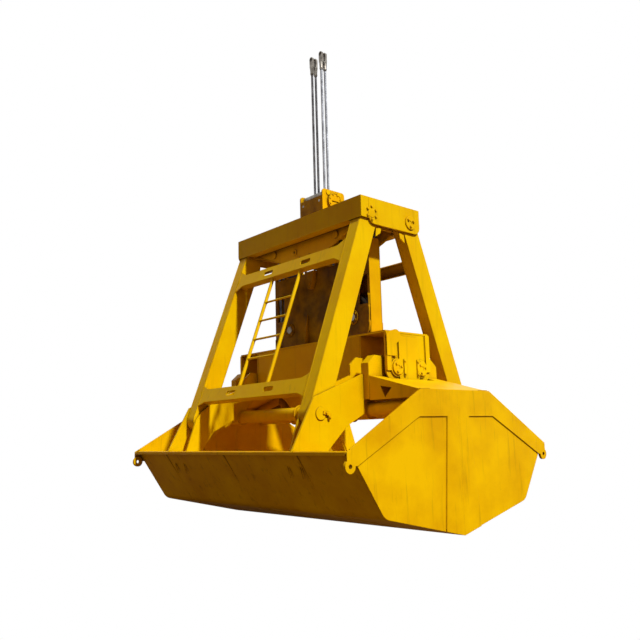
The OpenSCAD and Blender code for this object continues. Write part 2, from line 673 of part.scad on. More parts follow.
// Lower beam
low_top = low_z + low_h;
module beam_sides() {
    l = bearing_out - low_t;
    both_sides() box(-low_x, -low_x + low_t, -l, l, low_z, low_top);
    box(-low_x + low_t, low_x - low_t, -l, l, low_z + low_t, low_z + low_t * 2);
}
module beam_end_near() {
    difference() {
        union() {
            box(-low_x, low_x, -low_y, -low_y + low_t, low_z + low_corner_r, low_top);
            box(-low_x + low_corner_r, low_x - low_corner_r, -low_y, -low_y + low_t,
                low_z, low_z + low_corner_r);
            box(-low_x, low_x, -bearing_out, -bearing_out + low_t, low_z, low_top);
            for (s = [-1, 1]) {
                x = s * (low_x - end_edge_w / 2);
                box(x - end_edge_w / 2, x + end_edge_w / 2, -low_y - end_edge_t,
                    -low_y, low_z + low_corner_r, low_top);
                bar_y(s * (low_x - low_corner_r), low_z + low_corner_r, low_corner_r, -low_y, -low_y + low_t);
            }
            box(-hinge_x + end_edge_w / 2, hinge_x - end_edge_w / 2, -low_y - end_edge_t, -low_y,
                low_z, low_top - end_edge_w / 2);
            for (s = [-1, 1]) bar_y(s * hinge_x, hinge_z, hub_r * 0.86, -low_y - end_edge_t, -low_y);
        }
        for (s = [-1, 1]) bar_y(s * hinge_x, hinge_z, hinge_pin_r + seat, -low_y - end_edge_t - cut,
            -bearing_out + low_t + cut);
    }
}
module beam_top() difference() {
    box(-low_x, low_x, -low_y, low_y, low_top, low_top + low_t);
    box(-house_x + house_t + seat, house_x - house_t - seat, -house_y + house_t, house_y - house_t,
        low_top - cut,
        low_top + low_t + cut);
}
module hinge_pin_near(s) {
    bar_y(s * hinge_x, hinge_z, hinge_pin_r, -low_y - end_edge_t * 2, -bearing_out + low_t + lug_gap);
    bar_y(s * hinge_x, hinge_z, hinge_pin_r * 1.35, -low_y - end_edge_t * 2, -low_y - end_edge_t);
}

house_z = low_top + low_t;
house_top_z = head_low - web_drop - house_gap;
window_share = 0.42;
module housing() {
    top = house_top_z;
    wy = sheave_y + sheave_r * 0.75;
    both_sides() difference() {
        plate_yz([[-house_y, house_z], [house_y, house_z],
            [house_y, top], [-house_y, top]], -house_x, house_t);
        for (s = [-1, 1]) {
            bar_x(s * sheave_y, sheave_low_z, axle_r + seat, -house_x - cut, -house_x + house_t + cut);
            box(-house_x - cut, -house_x + house_t + cut,
                s * wy - post_w * window_share, s * wy + post_w * window_share,
                sheave_low_z + axle_r * 3, sheave_low_z + axle_r * 3 + post_w * 2);
        }
    }
    both_ends() {
        box(-house_x + house_t, house_x - house_t, -house_y, -house_y + house_t, house_z, top + post_rise);
        both_sides() box(-house_x, -house_x + house_t, -house_y, -house_y + house_t * 2, top, top + post_rise);
        both_sides() plate_yz([[-house_y, house_z], [-house_y + post_w, house_z],
            [-house_y, house_z + post_w]],
            -house_x - house_t, house_t);
    }
}

// Every sub-part at its place
module piece(c) color(c) at_datum() children();
module turned() rotate([0, 0, 180]) children();
module both_turned() { children(); turned() children(); }

module head_side_beam_left() piece(yellow) side_beam();
module head_side_beam_right() piece(yellow) turned() side_beam();
module head_end_plate_near() piece(yellow) end_plate_near();
module head_end_plate_far() piece(yellow) turned() end_plate_near();
module head_webs() piece(yellow) webs();
module head_ribs() piece(yellow) ribs();
module arm_head_pins() piece(steel) both_ends() for (s = [-1, 1]) head_pin_near(s);
module rope_guide() piece(yellow) guide_housing();
module guide_roller_left() piece(steel) roller_along_y(-1);
module guide_roller_right() piece(steel) roller_along_y(1);
module guide_roller_near() piece(steel) roller_along_x(-1);
module guide_roller_far() piece(steel) roller_along_x(1);
module upper_sheave_near() piece(dark) sheave(0, -sheave_y, sheave_top_z);
module upper_sheave_far() piece(dark) sheave(0, sheave_y, sheave_top_z);
module upper_sheave_axles() piece(steel) both_ends() axle_x(-sheave_y, sheave_top_z, web_x + web_t);
module rope_anchors() piece(yellow) both_turned() {
    wedge_socket(pair_x, -row_y, anchor_z);
    wedge_socket(dead_x, out_y, dead_z);
    anchor_pin(-row_y, anchor_z, -web_x - web_t);
    anchor_pin(out_y, dead_z, dead_x - rope_d);
}
module ropes_in_head() piece(steel) both_turned() {
    holding_run();
    rod([-pair_x, -row_y, bend_z], [-pair_x, -row_y, guide_z], rope_d / 2);
    rope_turn(0, -sheave_y, sheave_top_z, true);
    leads_near();
}
module closing_rope_falls() piece(steel) both_turned() falls_near();
module rope_1() piece(steel) free_rope(-pair_x, -row_y);
module rope_2() piece(steel) free_rope(pair_x, -row_y);
module rope_3() piece(steel) free_rope(-pair_x, row_y);
module rope_4() piece(steel) free_rope(pair_x, row_y);
module rope_end_sockets() piece(steel) for (x = [-pair_x, pair_x]) for (y = [-row_y, row_y]) end_socket(x, y);

module arm_left_near() piece(yellow) arm_near();
module arm_left_far() piece(yellow) far() arm_near();
module crossbar_left_upper() piece(yellow) crossbar(bar_top_drop, bar_top_h, gusset_top_h, true);
module crossbar_left_lower() piece(yellow) crossbar(bar_low_drop, bar_low_h, gusset_h, true);
module ladder() piece(yellow) ladder_frame();
module foot_pins_left() piece(steel) both_ends() foot_pin_near();
module arm_right_near() piece(yellow) right() arm_near();
module arm_right_far() piece(yellow) right() far() arm_near();
module crossbar_right_upper() piece(yellow) right() crossbar(bar_top_drop, bar_top_h, gusset_top_h, false);
module crossbar_right_lower() piece(yellow) right() crossbar(bar_low_drop, bar_low_h, gusset_h, false);
module foot_pins_right() piece(steel) right() both_ends() foot_pin_near();

module lower_beam_sides() piece(yellow) beam_sides();
module lower_beam_end_near() piece(yellow) beam_end_near();
module lower_beam_end_far() piece(yellow) far() beam_end_near();
module lower_beam_top() piece(yellow) beam_top();
module sheave_housing() piece(yellow) housing();
module lower_sheave_near_a() piece(dark) sheave(-fall_x, -sheave_y, sheave_low_z);
module lower_sheave_near_b() piece(dark) sheave(fall_x, -sheave_y, sheave_low_z);
module lower_sheave_far_a() piece(dark) sheave(fall_x, sheave_y, sheave_low_z);
module lower_sheave_far_b() piece(dark) sheave(-fall_x, sheave_y, sheave_low_z);
module lower_sheave_axles() piece(steel) both_ends() axle_x(-sheave_y, sheave_low_z, house_x + house_t);
module closing_rope_lower_turns() piece(steel) both_turned() for (x = [-fall_x, fall_x])
    rope_turn(x, -sheave_y, sheave_low_z, false);
module hinge_pins() piece(steel) both_ends() for (s = [-1, 1]) hinge_pin_near(s);

module shell_left_floor() piece(yellow) floor_shell();
module shell_left_side_near() piece(yellow) side_plate_near();
module shell_left_side_far() piece(yellow) far() side_plate_near();
module shell_left_lip() piece(yellow) lip_bar();
module shell_left_lugs() piece(yellow) both_ends() lug_set();
module shell_left_tube() piece(yellow) torsion_tube();
module shell_left_shoulders() piece(yellow) both_ends() shoulder_near();
module shell_right_floor() piece(yellow) right() floor_shell();
module shell_right_side_near() piece(yellow) right() side_plate_near();
module shell_right_side_far() piece(yellow) right() far() side_plate_near();
module shell_right_lip() piece(yellow) right() lip_bar();
module shell_right_lugs() piece(yellow) right() both_ends() lug_set();
module shell_right_tube() piece(yellow) right() torsion_tube();
module shell_right_shoulders() piece(yellow) right() both_ends() shoulder_near();

head_side_beam_left();
head_side_beam_right();
head_end_plate_near();
head_end_plate_far();
head_webs();
head_ribs();
arm_head_pins();
rope_guide();
guide_roller_left();
guide_roller_right();
guide_roller_near();
guide_roller_far();
upper_sheave_near();
upper_sheave_far();
upper_sheave_axles();
rope_anchors();
ropes_in_head();
closing_rope_falls();
rope_1();
rope_2();
rope_3();
rope_4();
rope_end_sockets();
arm_left_near();
arm_left_far();
crossbar_left_upper();
crossbar_left_lower();
ladder();
foot_pins_left();
arm_right_near();
arm_right_far();
crossbar_right_upper();
crossbar_right_lower();
foot_pins_right();
lower_beam_sides();
lower_beam_end_near();
lower_beam_end_far();
lower_beam_top();
sheave_housing();
lower_sheave_near_a();
lower_sheave_near_b();
lower_sheave_far_a();
lower_sheave_far_b();
lower_sheave_axles();
closing_rope_lower_turns();
hinge_pins();
shell_left_floor();
shell_left_side_near();
shell_left_side_far();
shell_left_lip();
shell_left_lugs();
shell_left_tube();
shell_left_shoulders();
shell_right_floor();
shell_right_side_near();
shell_right_side_far();
shell_right_lip();
shell_right_lugs();
shell_right_tube();
shell_right_shoulders();
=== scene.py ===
import json
import math

import bmesh
import bpy
from mathutils import Matrix, Vector


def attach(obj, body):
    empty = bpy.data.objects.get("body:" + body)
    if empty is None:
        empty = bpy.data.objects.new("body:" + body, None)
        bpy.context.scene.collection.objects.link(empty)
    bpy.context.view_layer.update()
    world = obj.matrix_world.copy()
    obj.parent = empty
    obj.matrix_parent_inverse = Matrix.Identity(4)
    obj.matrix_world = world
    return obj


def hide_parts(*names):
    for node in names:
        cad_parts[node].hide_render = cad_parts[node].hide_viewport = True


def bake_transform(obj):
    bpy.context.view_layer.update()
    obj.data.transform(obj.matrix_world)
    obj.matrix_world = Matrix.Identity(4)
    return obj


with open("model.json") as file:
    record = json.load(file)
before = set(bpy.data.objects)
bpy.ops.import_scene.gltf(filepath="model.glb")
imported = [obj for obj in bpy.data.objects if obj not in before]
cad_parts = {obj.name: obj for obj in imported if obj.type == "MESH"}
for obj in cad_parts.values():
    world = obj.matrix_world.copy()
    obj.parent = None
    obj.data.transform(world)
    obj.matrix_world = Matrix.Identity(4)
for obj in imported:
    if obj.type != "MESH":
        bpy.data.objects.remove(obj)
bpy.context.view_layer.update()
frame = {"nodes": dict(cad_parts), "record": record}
nodes = frame["nodes"]

# The viewpoint: standing on the ground beside the left shell, looking up a little at the grab.
# The place, the angles and the lens were solved from the straight edges of the photograph.
LIPS_BELOW_ORIGIN = 6.070
camera_data = bpy.data.cameras.new("camera")
camera = bpy.data.objects.new("camera", camera_data)
bpy.context.scene.collection.objects.link(camera)
bpy.context.scene.camera = camera
camera_data.sensor_width = 36.0
camera_data.lens = 38.76
camera_data.shift_x = 0.0007
camera_data.shift_y = -0.0011
camera_place = Vector((-5.7622, -6.4221, 1.0263 - LIPS_BELOW_ORIGIN))
camera_yaw = math.radians(41.42)
camera_pitch = math.radians(9.51)
camera_roll = math.radians(-1.5)
ahead = Vector((math.sin(camera_yaw) * math.cos(camera_pitch), math.cos(camera_yaw) * math.cos(camera_pitch),
                math.sin(camera_pitch)))
level_right = Vector((math.cos(camera_yaw), -math.sin(camera_yaw), 0.0))
level_up = level_right.cross(ahead)
right = level_right * math.cos(camera_roll) + level_up * math.sin(camera_roll)
up = level_up * math.cos(camera_roll) - level_right * math.sin(camera_roll)
camera_turn = Matrix((right, up, -ahead)).transposed().to_4x4()
camera.matrix_world = Matrix.Translation(camera_place) @ camera_turn


# Wire rope: bright drawn steel wires laid into six strands round a core, greased and dusty.
# Four of them come down from the crane, two that hold the head and two that close the shells.
MM = 0.001


def srgb(code):
    """An sRGB hex colour as the linear numbers that Blender's sockets take."""
    channels = [int(code[i:i + 2], 16) / 255 for i in (1, 3, 5)]
    return tuple(c / 12.92 if c <= 0.04045 else ((c + 0.055) / 1.055) ** 2.4 for c in channels) + (1.0,)


def add_node(material, kind, settings=None, **links):
    """Adds a shader node, sets its fields and sockets, and links sockets by name or number (i0, i1)."""
    node = material.node_tree.nodes.new(kind)
    for key, value in (settings or {}).items():
        if isinstance(key, str) and hasattr(node, key):
            setattr(node, key, value)
        else:
            node.inputs[key].default_value = value
    for socket, source in links.items():
        key = int(socket[1:]) if socket[1:].isdigit() else socket.replace("_", " ")
        material.node_tree.links.new(source, node.inputs[key])
    return node


def blank_material(name):
    material = bpy.data.materials.new(name)
    material.use_nodes = True
    material.node_tree.nodes.clear()
    return material


def ramp_colours(node, stops):
    """Sets a colour ramp's stops from pairs of position and hex colour."""
    elements = node.color_ramp.elements
    while len(elements) < len(stops):
        elements.new(0.5)
    for element, (position, code) in zip(elements, stops):
        element.position = position
        element.color = srgb(code)


ROPE_GRIME = 111 * MM
# The wires are drawn about twice as coarse as they are, so that they show
WIRE_CROWN = 3.85 * MM


def greased_wire_rope():
    # Drawn steel gone a bright grey, dulled in patches by a film of grease and dust
    material = blank_material("greased_wire_rope")
    spot = add_node(material, "ShaderNodeTexCoord")
    grime = add_node(material, "ShaderNodeTexNoise", {"Scale": 1 / ROPE_GRIME, "Detail": 4.0},
                     Vector=spot.outputs["Object"])
    colour = add_node(material, "ShaderNodeValToRGB", Fac=grime.outputs["Fac"])
    ramp_colours(colour, [(0.3, "#6E7076"), (0.7, "#B4B8C0")])
    wires = add_node(material, "ShaderNodeTexNoise", {"Scale": 1 / WIRE_CROWN, "Detail": 2.0},
                     Vector=spot.outputs["Object"])
    bump = add_node(material, "ShaderNodeBump", {"Strength": 0.35, "Distance": 0.0015},
                    Height=wires.outputs["Fac"])
    steel = add_node(material, "ShaderNodeBsdfPrincipled", {"Metallic": 0.5, "Roughness": 0.55},
                     Base_Color=colour.outputs["Color"], Normal=bump.outputs["Normal"])
    add_node(material, "ShaderNodeOutputMaterial", Surface=steel.outputs["BSDF"])
    return material


def place(x, y, z):
    """A point in metres from the part's own millimetres, which count heights from the closed lips."""
    return Vector((x, y, z)) * MM - Vector((0, 0, LIPS_BELOW_ORIGIN))


SHARP_ANGLE = math.radians(38)


def mesh_object(name, part, material):
    """A new mesh piece from points and faces, smooth but for its sharp edges."""
    verts, faces = part
    mesh = bpy.data.meshes.new(name)
    mesh.from_pydata([tuple(v) for v in verts], [], faces)
    mesh.materials.append(material)
    shape = bmesh.new()
    shape.from_mesh(mesh)
    bmesh.ops.recalc_face_normals(shape, faces=shape.faces)
    for face in shape.faces:
        face.smooth = True
    for edge in shape.edges:
        edge.smooth = edge.calc_face_angle(0.0) < SHARP_ANGLE
    shape.to_mesh(mesh)
    shape.free()
    piece = bpy.data.objects.new(name, mesh)
    bpy.context.scene.collection.objects.link(piece)
    return piece


def swept(points, rings, sides, radius_at, lay=None):
    """Points and faces of a bar along a line. The outline, radius_at(distance, angle), turns by the lay."""
    length = [0.0]
    for a, b in zip(points, points[1:]):
        length.append(length[-1] + (b - a).length)
    verts, faces = [], []
    side = None
    segment = 0
    for ring in range(rings + 1):
        at = length[-1] * ring / rings
        while segment < len(points) - 2 and length[segment + 1] < at:
            segment += 1
        share = (at - length[segment]) / (length[segment + 1] - length[segment])
        centre = points[segment].lerp(points[segment + 1], share)
        along = (points[segment + 1] - points[segment]).normalized()
        if share < 0.5 and segment > 0:
            before = (points[segment] - points[segment - 1]).normalized()
            along = along.lerp(before, 0.5 - share).normalized()
        if share > 0.5 and segment < len(points) - 2:
            after = (points[segment + 2] - points[segment + 1]).normalized()
            along = along.lerp(after, share - 0.5).normalized()
        if side is None:
            side = along.orthogonal().normalized()
        side = (side - along * side.dot(along)).normalized()
        other = along.cross(side)
        twist = math.tau * at / lay if lay else 0.0
        for k in range(sides):
            angle = math.tau * k / sides
            out = side * math.cos(angle + twist) + other * math.sin(angle + twist)
            verts.append(centre + out * radius_at(at, angle))
    for ring in range(rings):
        for k in range(sides):
            a = ring * sides + k
            b = ring * sides + (k + 1) % sides
            faces.append((a, b, b + sides, a + sides))
    faces.append(tuple(range(sides - 1, -1, -1)))
    faces.append(tuple(range(rings * sides, (rings + 1) * sides)))
    return verts, faces


ROPE_D = 34 * MM
ROPE_STRANDS = 6
# A lay of six and a half rope diameters is usual for a hoisting rope
ROPE_LAY = ROPE_D * 6.5
RINGS_PER_LAY = 10
ROPE_SIDES = 24
# How far the strands stand out of the rope's radius, and how full their crowns are
STRAND_SHARE = 0.20
CROWN_POWER = 0.6
rope_steel = greased_wire_rope()


def line_length(points):
    return sum((b - a).length for a, b in zip(points, points[1:]))


def laid_rope(points):
    """A rope of six strands: its outline is a six-lobed rose that turns with the lay."""
    def radius_at(_, angle):
        crown = abs(math.cos(ROPE_STRANDS / 2 * angle)) ** CROWN_POWER
        return ROPE_D / 2 * (1 - STRAND_SHARE + STRAND_SHARE * crown)
    rings = max(8, int(line_length(points) / ROPE_LAY * RINGS_PER_LAY))
    return swept(points, rings, ROPE_SIDES, radius_at, ROPE_LAY)


def joined(parts):
    """Several sets of points and faces as one."""
    verts, faces = [], []
    for some_verts, some_faces in parts:
        start = len(verts)
        verts += some_verts
        faces += [tuple(i + start for i in face) for face in some_faces]
    return verts, faces


def turned(profile, start, axis, sides=32):
    """A turned piece: pairs of radius and height in millimetres round an axis that leaves the start point."""
    axis = Vector(axis).normalized()
    side = axis.orthogonal().normalized()
    other = axis.cross(side)
    verts = []
    for radius, height in profile:
        for k in range(sides):
            angle = math.tau * k / sides
            out = side * math.cos(angle) + other * math.sin(angle)
            verts.append(start + (out * radius + axis * height) * MM)
    faces = []
    for ring in range(len(profile) - 1):
        for k in range(sides):
            a = ring * sides + k
            b = ring * sides + (k + 1) % sides
            faces.append((a, b, b + sides, a + sides))
    last = (len(profile) - 1) * sides
    if profile[0] == profile[-1]:
        return verts, faces
    faces.append(tuple(range(sides)))
    faces.append(tuple(last + k for k in range(sides)))
    return verts, faces


def plate(outline, normal, thickness):
    """A flat plate: an outline of millimetre points, carried along its normal for its thickness."""
    step = Vector(normal).normalized() * thickness * MM
    base = [place(*point) for point in outline]
    count = len(base)
    faces = [tuple(range(count)), tuple(range(2 * count - 1, count - 1, -1))]
    faces += [(k, (k + 1) % count, count + (k + 1) % count, count + k) for k in range(count)]
    return base + [v + step for v in base], faces


def add_piece(name, parts, material, body, replaced=()):
    """Makes a piece, lets it ride on its body, and hides the CAD nodes that it stands for."""
    piece = mesh_object(name, joined(parts), material)
    if replaced:
        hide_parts(*replaced)
    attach(piece, body)
    return piece


# Half the distance between the ropes of a pair, and between the two rows
PAIR_X = 32
ROW_Y = 95
GUIDE_TOP = 4147
SOCKET_FOOT = 5840
# The rope's end opens out inside the socket's cone
SOCKET_DEPTH = 115
ROUTE_STEP = 90
socket_places = ((-PAIR_X, -ROW_Y), (PAIR_X, -ROW_Y), (-PAIR_X, ROW_Y), (PAIR_X, ROW_Y))
route_heights = [z for z in range(GUIDE_TOP, SOCKET_FOOT, ROUTE_STEP) if z < SOCKET_FOOT - ROPE_D / MM]
route_heights += [SOCKET_FOOT, SOCKET_FOOT + SOCKET_DEPTH]
free_routes = [[place(x, y, z) for z in route_heights] for x, y in socket_places]
free_ropes = [mesh_object(f"hoist_rope_{number}", laid_rope(route), rope_steel)
              for number, route in enumerate(free_routes, 1)]


# Open rope sockets: cast steel cones filled with zinc, each with an eye that the crane's own rope pins to.
# They sit at the top of the four ropes and are guessed, as the photograph ends below them.
HAZE_PATCH = 71.4 * MM


def bare_turned_steel():
    # Machined faces gone dull: a soft satin with patches of dry haze
    material = blank_material("bare_turned_steel")
    spot = add_node(material, "ShaderNodeTexCoord")
    haze = add_node(material, "ShaderNodeTexNoise", {"Scale": 1 / HAZE_PATCH, "Detail": 5.0},
                    Vector=spot.outputs["Object"])
    colour = add_node(material, "ShaderNodeValToRGB", Fac=haze.outputs["Fac"])
    ramp_colours(colour, [(0.35, "#6B655D"), (0.65, "#98938A")])
    gloss = add_node(material, "ShaderNodeMapRange", {"To Min": 0.32, "To Max": 0.6},
                     Value=haze.outputs["Fac"])
    steel = add_node(material, "ShaderNodeBsdfPrincipled", {"Metallic": 1.0},
                     Base_Color=colour.outputs["Color"], Roughness=gloss.outputs["Result"])
    add_node(material, "ShaderNodeOutputMaterial", Surface=steel.outputs["BSDF"])
    return material


turned_steel = bare_turned_steel()
SOCKET_L = 230
NECK_FOOT = 110
EYE_R = 30
EYE_HOLE_R = 19.3
EYE_T = 30
# Radius and height up the casting: its mouth, two beads, the cone and the collar under the neck
SOCKET_PROFILE = [(17, 0), (20, 0), (22, 3), (22, 14), (25, 17), (25, 26), (22.5, 30), (29, 112), (30, 116),
                  (30, 124), (28, 127), (17, 127)]
EYE_RING = [(EYE_HOLE_R, 0), (EYE_R, 0), (EYE_R, EYE_T), (EYE_HOLE_R, EYE_T), (EYE_HOLE_R, 0)]
# The neck's plate is cut out round the lower half of the eye
HOLLOW_R = EYE_HOLE_R * 1.1
hollow_angles = [math.radians(-12 * k) for k in range(16)]
hollow = [(HOLLOW_R * math.cos(a), HOLLOW_R * math.sin(a)) for a in hollow_angles]
neck = [(-EYE_R, NECK_FOOT - SOCKET_L), (EYE_R, NECK_FOOT - SOCKET_L), (EYE_R, 0)] + hollow + [(-EYE_R, 0)]
for number, ((x, y), rope, route) in enumerate(zip(socket_places, free_ropes, free_routes), 1):
    eye_z = SOCKET_FOOT + SOCKET_L
    neck_here = [(x - EYE_T / 2, y + across, eye_z + up) for across, up in neck]
    parts = [turned(SOCKET_PROFILE, place(x, y, SOCKET_FOOT), (0, 0, 1)), plate(neck_here, (1, 0, 0), EYE_T),
             turned(EYE_RING, place(x - EYE_T / 2, y, eye_z), (1, 0, 0))]
    socket = add_piece(f"rope_socket_{number}", parts, turned_steel, "head", ("rope_end_sockets",))
    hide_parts(f"rope_{number}")
    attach(rope, "head")


# Alkyd enamel on shot-blasted steel plate, sprayed in a warm chrome yellow over a red primer.
# It is strong in colour and uneven: the film waves, dust takes its shine, and grime runs down in streaks.
# Shade is painted into its corners and recesses, in the same dark brown as the grime.
PAINT_PATCH = 625 * MM
STREAK_W = 71.4 * MM
STREAK_L = 833 * MM
# The chips and the film's waves are drawn coarser than real ones, so that they show
CHIP = 18.2 * MM
FILM_WAVE = 45.5 * MM
GREASE_AND_SHADE_CLOUD = 417 * MM
# How far the painted shade reaches out of corners and recesses
PAINTED_SHADE_REACH = 160 * MM
EDGE_ROUND = 5 * MM


def sprayed_yellow_enamel(name, lit="#F0C500", dull="#E6B300", dirt_and_shade="#4A2808", wear=0.25, grease_and_shade=0.0):
    # Strong yellow with hardly any mirror shine, painted shade in the corners, its edges softened by the
    # thick film
    material = blank_material(name)
    spot = add_node(material, "ShaderNodeTexCoord")
    patches = add_node(material, "ShaderNodeTexNoise",
                       {"Scale": 1 / PAINT_PATCH, "Detail": 6.0, "Roughness": 0.6},
                       Vector=spot.outputs["Object"])
    coat = add_node(material, "ShaderNodeValToRGB", Fac=patches.outputs["Fac"])
    ramp_colours(coat, [(0.35, dull), (0.62, lit)])
    stretch = add_node(material, "ShaderNodeMapping", {"Scale": (1 / STREAK_W, 1 / STREAK_W, 1 / STREAK_L)},
                       Vector=spot.outputs["Object"])
    streaks = add_node(material, "ShaderNodeTexNoise", {"Scale": 1.0, "Detail": 8.0, "Roughness": 0.65},
                       Vector=stretch.outputs["Vector"])
    streak_mask = add_node(material, "ShaderNodeMapRange",
                           {"From Min": 0.56, "From Max": 0.8, "To Max": wear}, Value=streaks.outputs["Fac"])
    streaked = add_node(material, "ShaderNodeMix", {"data_type": "RGBA", 7: srgb(dirt_and_shade)},
                        i0=streak_mask.outputs["Result"], i6=coat.outputs["Color"])
    # Painted shade: corners and recesses found by ambient occlusion are darkened towards the dirt-and-shade
    # colour
    open_air = add_node(material, "ShaderNodeAmbientOcclusion", {"samples": 6, "Distance": PAINTED_SHADE_REACH})
    painted_shade_mask = add_node(material, "ShaderNodeMapRange",
                           {"From Min": 0.35, "From Max": 0.8, "To Min": 0.75, "To Max": 0.0},
                           Value=open_air.outputs["AO"])
    painted_shade_mix = add_node(material, "ShaderNodeMix", {"data_type": "RGBA", 7: srgb(dirt_and_shade)},
                        i0=painted_shade_mask.outputs["Result"], i6=streaked.outputs[2])
    chips = add_node(material, "ShaderNodeTexNoise", {"Scale": 1 / CHIP, "Detail": 5.0, "Roughness": 0.7},
                     Vector=spot.outputs["Object"])
    chip_mask = add_node(material, "ShaderNodeMapRange",
                         {"From Min": 0.66, "From Max": 0.74, "To Max": wear}, Value=chips.outputs["Fac"])
    chipped = add_node(material, "ShaderNodeMix", {"data_type": "RGBA", 7: srgb("#7A3A1E")},
                       i0=chip_mask.outputs["Result"], i6=painted_shade_mix.outputs[2])
    coat_colour = chipped.outputs[2]
    if grease_and_shade:
        # Rope grease thrown sideways lies on the faces beside the ropes, in clouds with clean gaps.
        # These sideways faces are the ones in shade, so the dark clouds are partly painted shade.
        facing = add_node(material, "ShaderNodeNewGeometry")
        facing_axes = add_node(material, "ShaderNodeSeparateXYZ", Vector=facing.outputs["True Normal"])
        sideways = add_node(material, "ShaderNodeMath", {"operation": "ABSOLUTE"},
                            i0=facing_axes.outputs["X"])
        clouds = add_node(material, "ShaderNodeTexNoise",
                          {"Scale": 1 / GREASE_AND_SHADE_CLOUD, "Detail": 7.0, "Roughness": 0.6},
                          Vector=spot.outputs["Object"])
        cloud_mask = add_node(material, "ShaderNodeMapRange",
                              {"From Min": 0.35, "From Max": 0.62, "To Min": grease_and_shade * 0.45, "To Max": grease_and_shade},
                              Value=clouds.outputs["Fac"])
        grease_and_shade_mask = add_node(material, "ShaderNodeMath", {"operation": "MULTIPLY"}, i0=sideways.outputs[0],
                          i1=cloud_mask.outputs["Result"])
        grease_and_shade_mix = add_node(material, "ShaderNodeMix", {"data_type": "RGBA", 7: srgb("#2B1408")},
                           i0=grease_and_shade_mask.outputs[0], i6=chipped.outputs[2])
        coat_colour = grease_and_shade_mix.outputs[2]
    rounded = add_node(material, "ShaderNodeBevel", {"samples": 4, "Radius": EDGE_ROUND})
    film = add_node(material, "ShaderNodeTexNoise", {"Scale": 1 / FILM_WAVE, "Detail": 3.0},
                    Vector=spot.outputs["Object"])
    bump = add_node(material, "ShaderNodeBump", {"Strength": 0.14, "Distance": 0.004},
                    Height=film.outputs["Fac"], Normal=rounded.outputs["Normal"])
    gloss = add_node(material, "ShaderNodeMapRange", {"To Min": 0.28, "To Max": 0.52},
                     Value=patches.outputs["Fac"])
    # Fine dust on the film lets it mirror very little of the sky
    paint = add_node(material, "ShaderNodeBsdfPrincipled",
                     {"Metallic": 0.0, "IOR": 1.5, "Specular IOR Level": 0.06}, Base_Color=coat_colour,
                     Roughness=gloss.outputs["Result"], Normal=bump.outputs["Normal"])
    add_node(material, "ShaderNodeOutputMaterial", Surface=paint.outputs["BSDF"])
    return material


def dress(node_names, material):
    """Gives carried-over plates their finish."""
    for node_name in node_names:
        piece = nodes[node_name]
        piece.data.materials.clear()
        piece.data.materials.append(material)


yellow_enamel = sprayed_yellow_enamel("sprayed_yellow_enamel")
slots = {entry["node"]: entry["material_slot"] for entry in frame["record"]["subparts"]}
dress([name for name, slot in slots.items() if slot == "paint"], yellow_enamel)
# Rope grease stains the sheaves' housing and the guide, and darkens their shaded side faces as painted shade
greasy_shaded_enamel = sprayed_yellow_enamel("grease_stained_shaded_enamel", lit="#EDB900", dull="#D9A000", grease_and_shade=0.85)
dress(["sheave_housing", "rope_guide"], greasy_shaded_enamel)


# Shell floors, sides and lips: thick plate, pressed and welded, in the same enamel.
# Cargo scours it and ships' holds scuff it, so it is more streaked and chipped than the frame above.
scoured_enamel = sprayed_yellow_enamel("scoured_yellow_enamel", lit="#F2BF00", dull="#DEA500", dirt_and_shade="#4A2A0C",
                                       wear=0.5)
for side_name in ("left", "right"):
    dress([f"shell_{side_name}_{part}" for part in ("floor", "side_near", "side_far", "lip")], scoured_enamel)


# Weld beads: hand-laid fillets along the plate joints, painted over.
# They ripple at the pitch of their stitches and catch a thin line of light.
WELD_R = 5
WELD_PITCH = 14
STITCH_SHARE = 0.16
BEAD_SIDES = 6


def bead(points, radius=WELD_R):
    """A weld bead along a line of millimetre points."""
    line = [place(*p) for p in points]
    pitch = WELD_PITCH * MM

    def radius_at(at, _):
        return radius * MM * (1 - STITCH_SHARE + STITCH_SHARE * math.cos(math.tau * at / pitch))
    return swept(line, max(4, int(line_length(line) / pitch * 2)), BEAD_SIDES, radius_at)


def mirrored(points, x=1, y=1):
    """The same points on the other side, or at the other end."""
    return [(a * x, b * y, c) for a, b, c in points]


HEAD_X = 495
HEAD_Y = 1200
HEAD_Z = 3677
HEAD_LOW = 3429
END_T = 24
END_PLATE_X = 368
WEB_X = 330
WEB_DROP = 262
WEB_FOOT_Y = 270
WEB_TOP_Y = 905
WEB_SETBACK = 20
RIB_Y = 1008.5
SEAM_INSET = 4
CORNER_INSET = 10
SHACKLE_Y = 172
SHACKLE_Z = 3328
SHACKLE_HOLE_R = 16
SHACKLE_PAD_R = 38
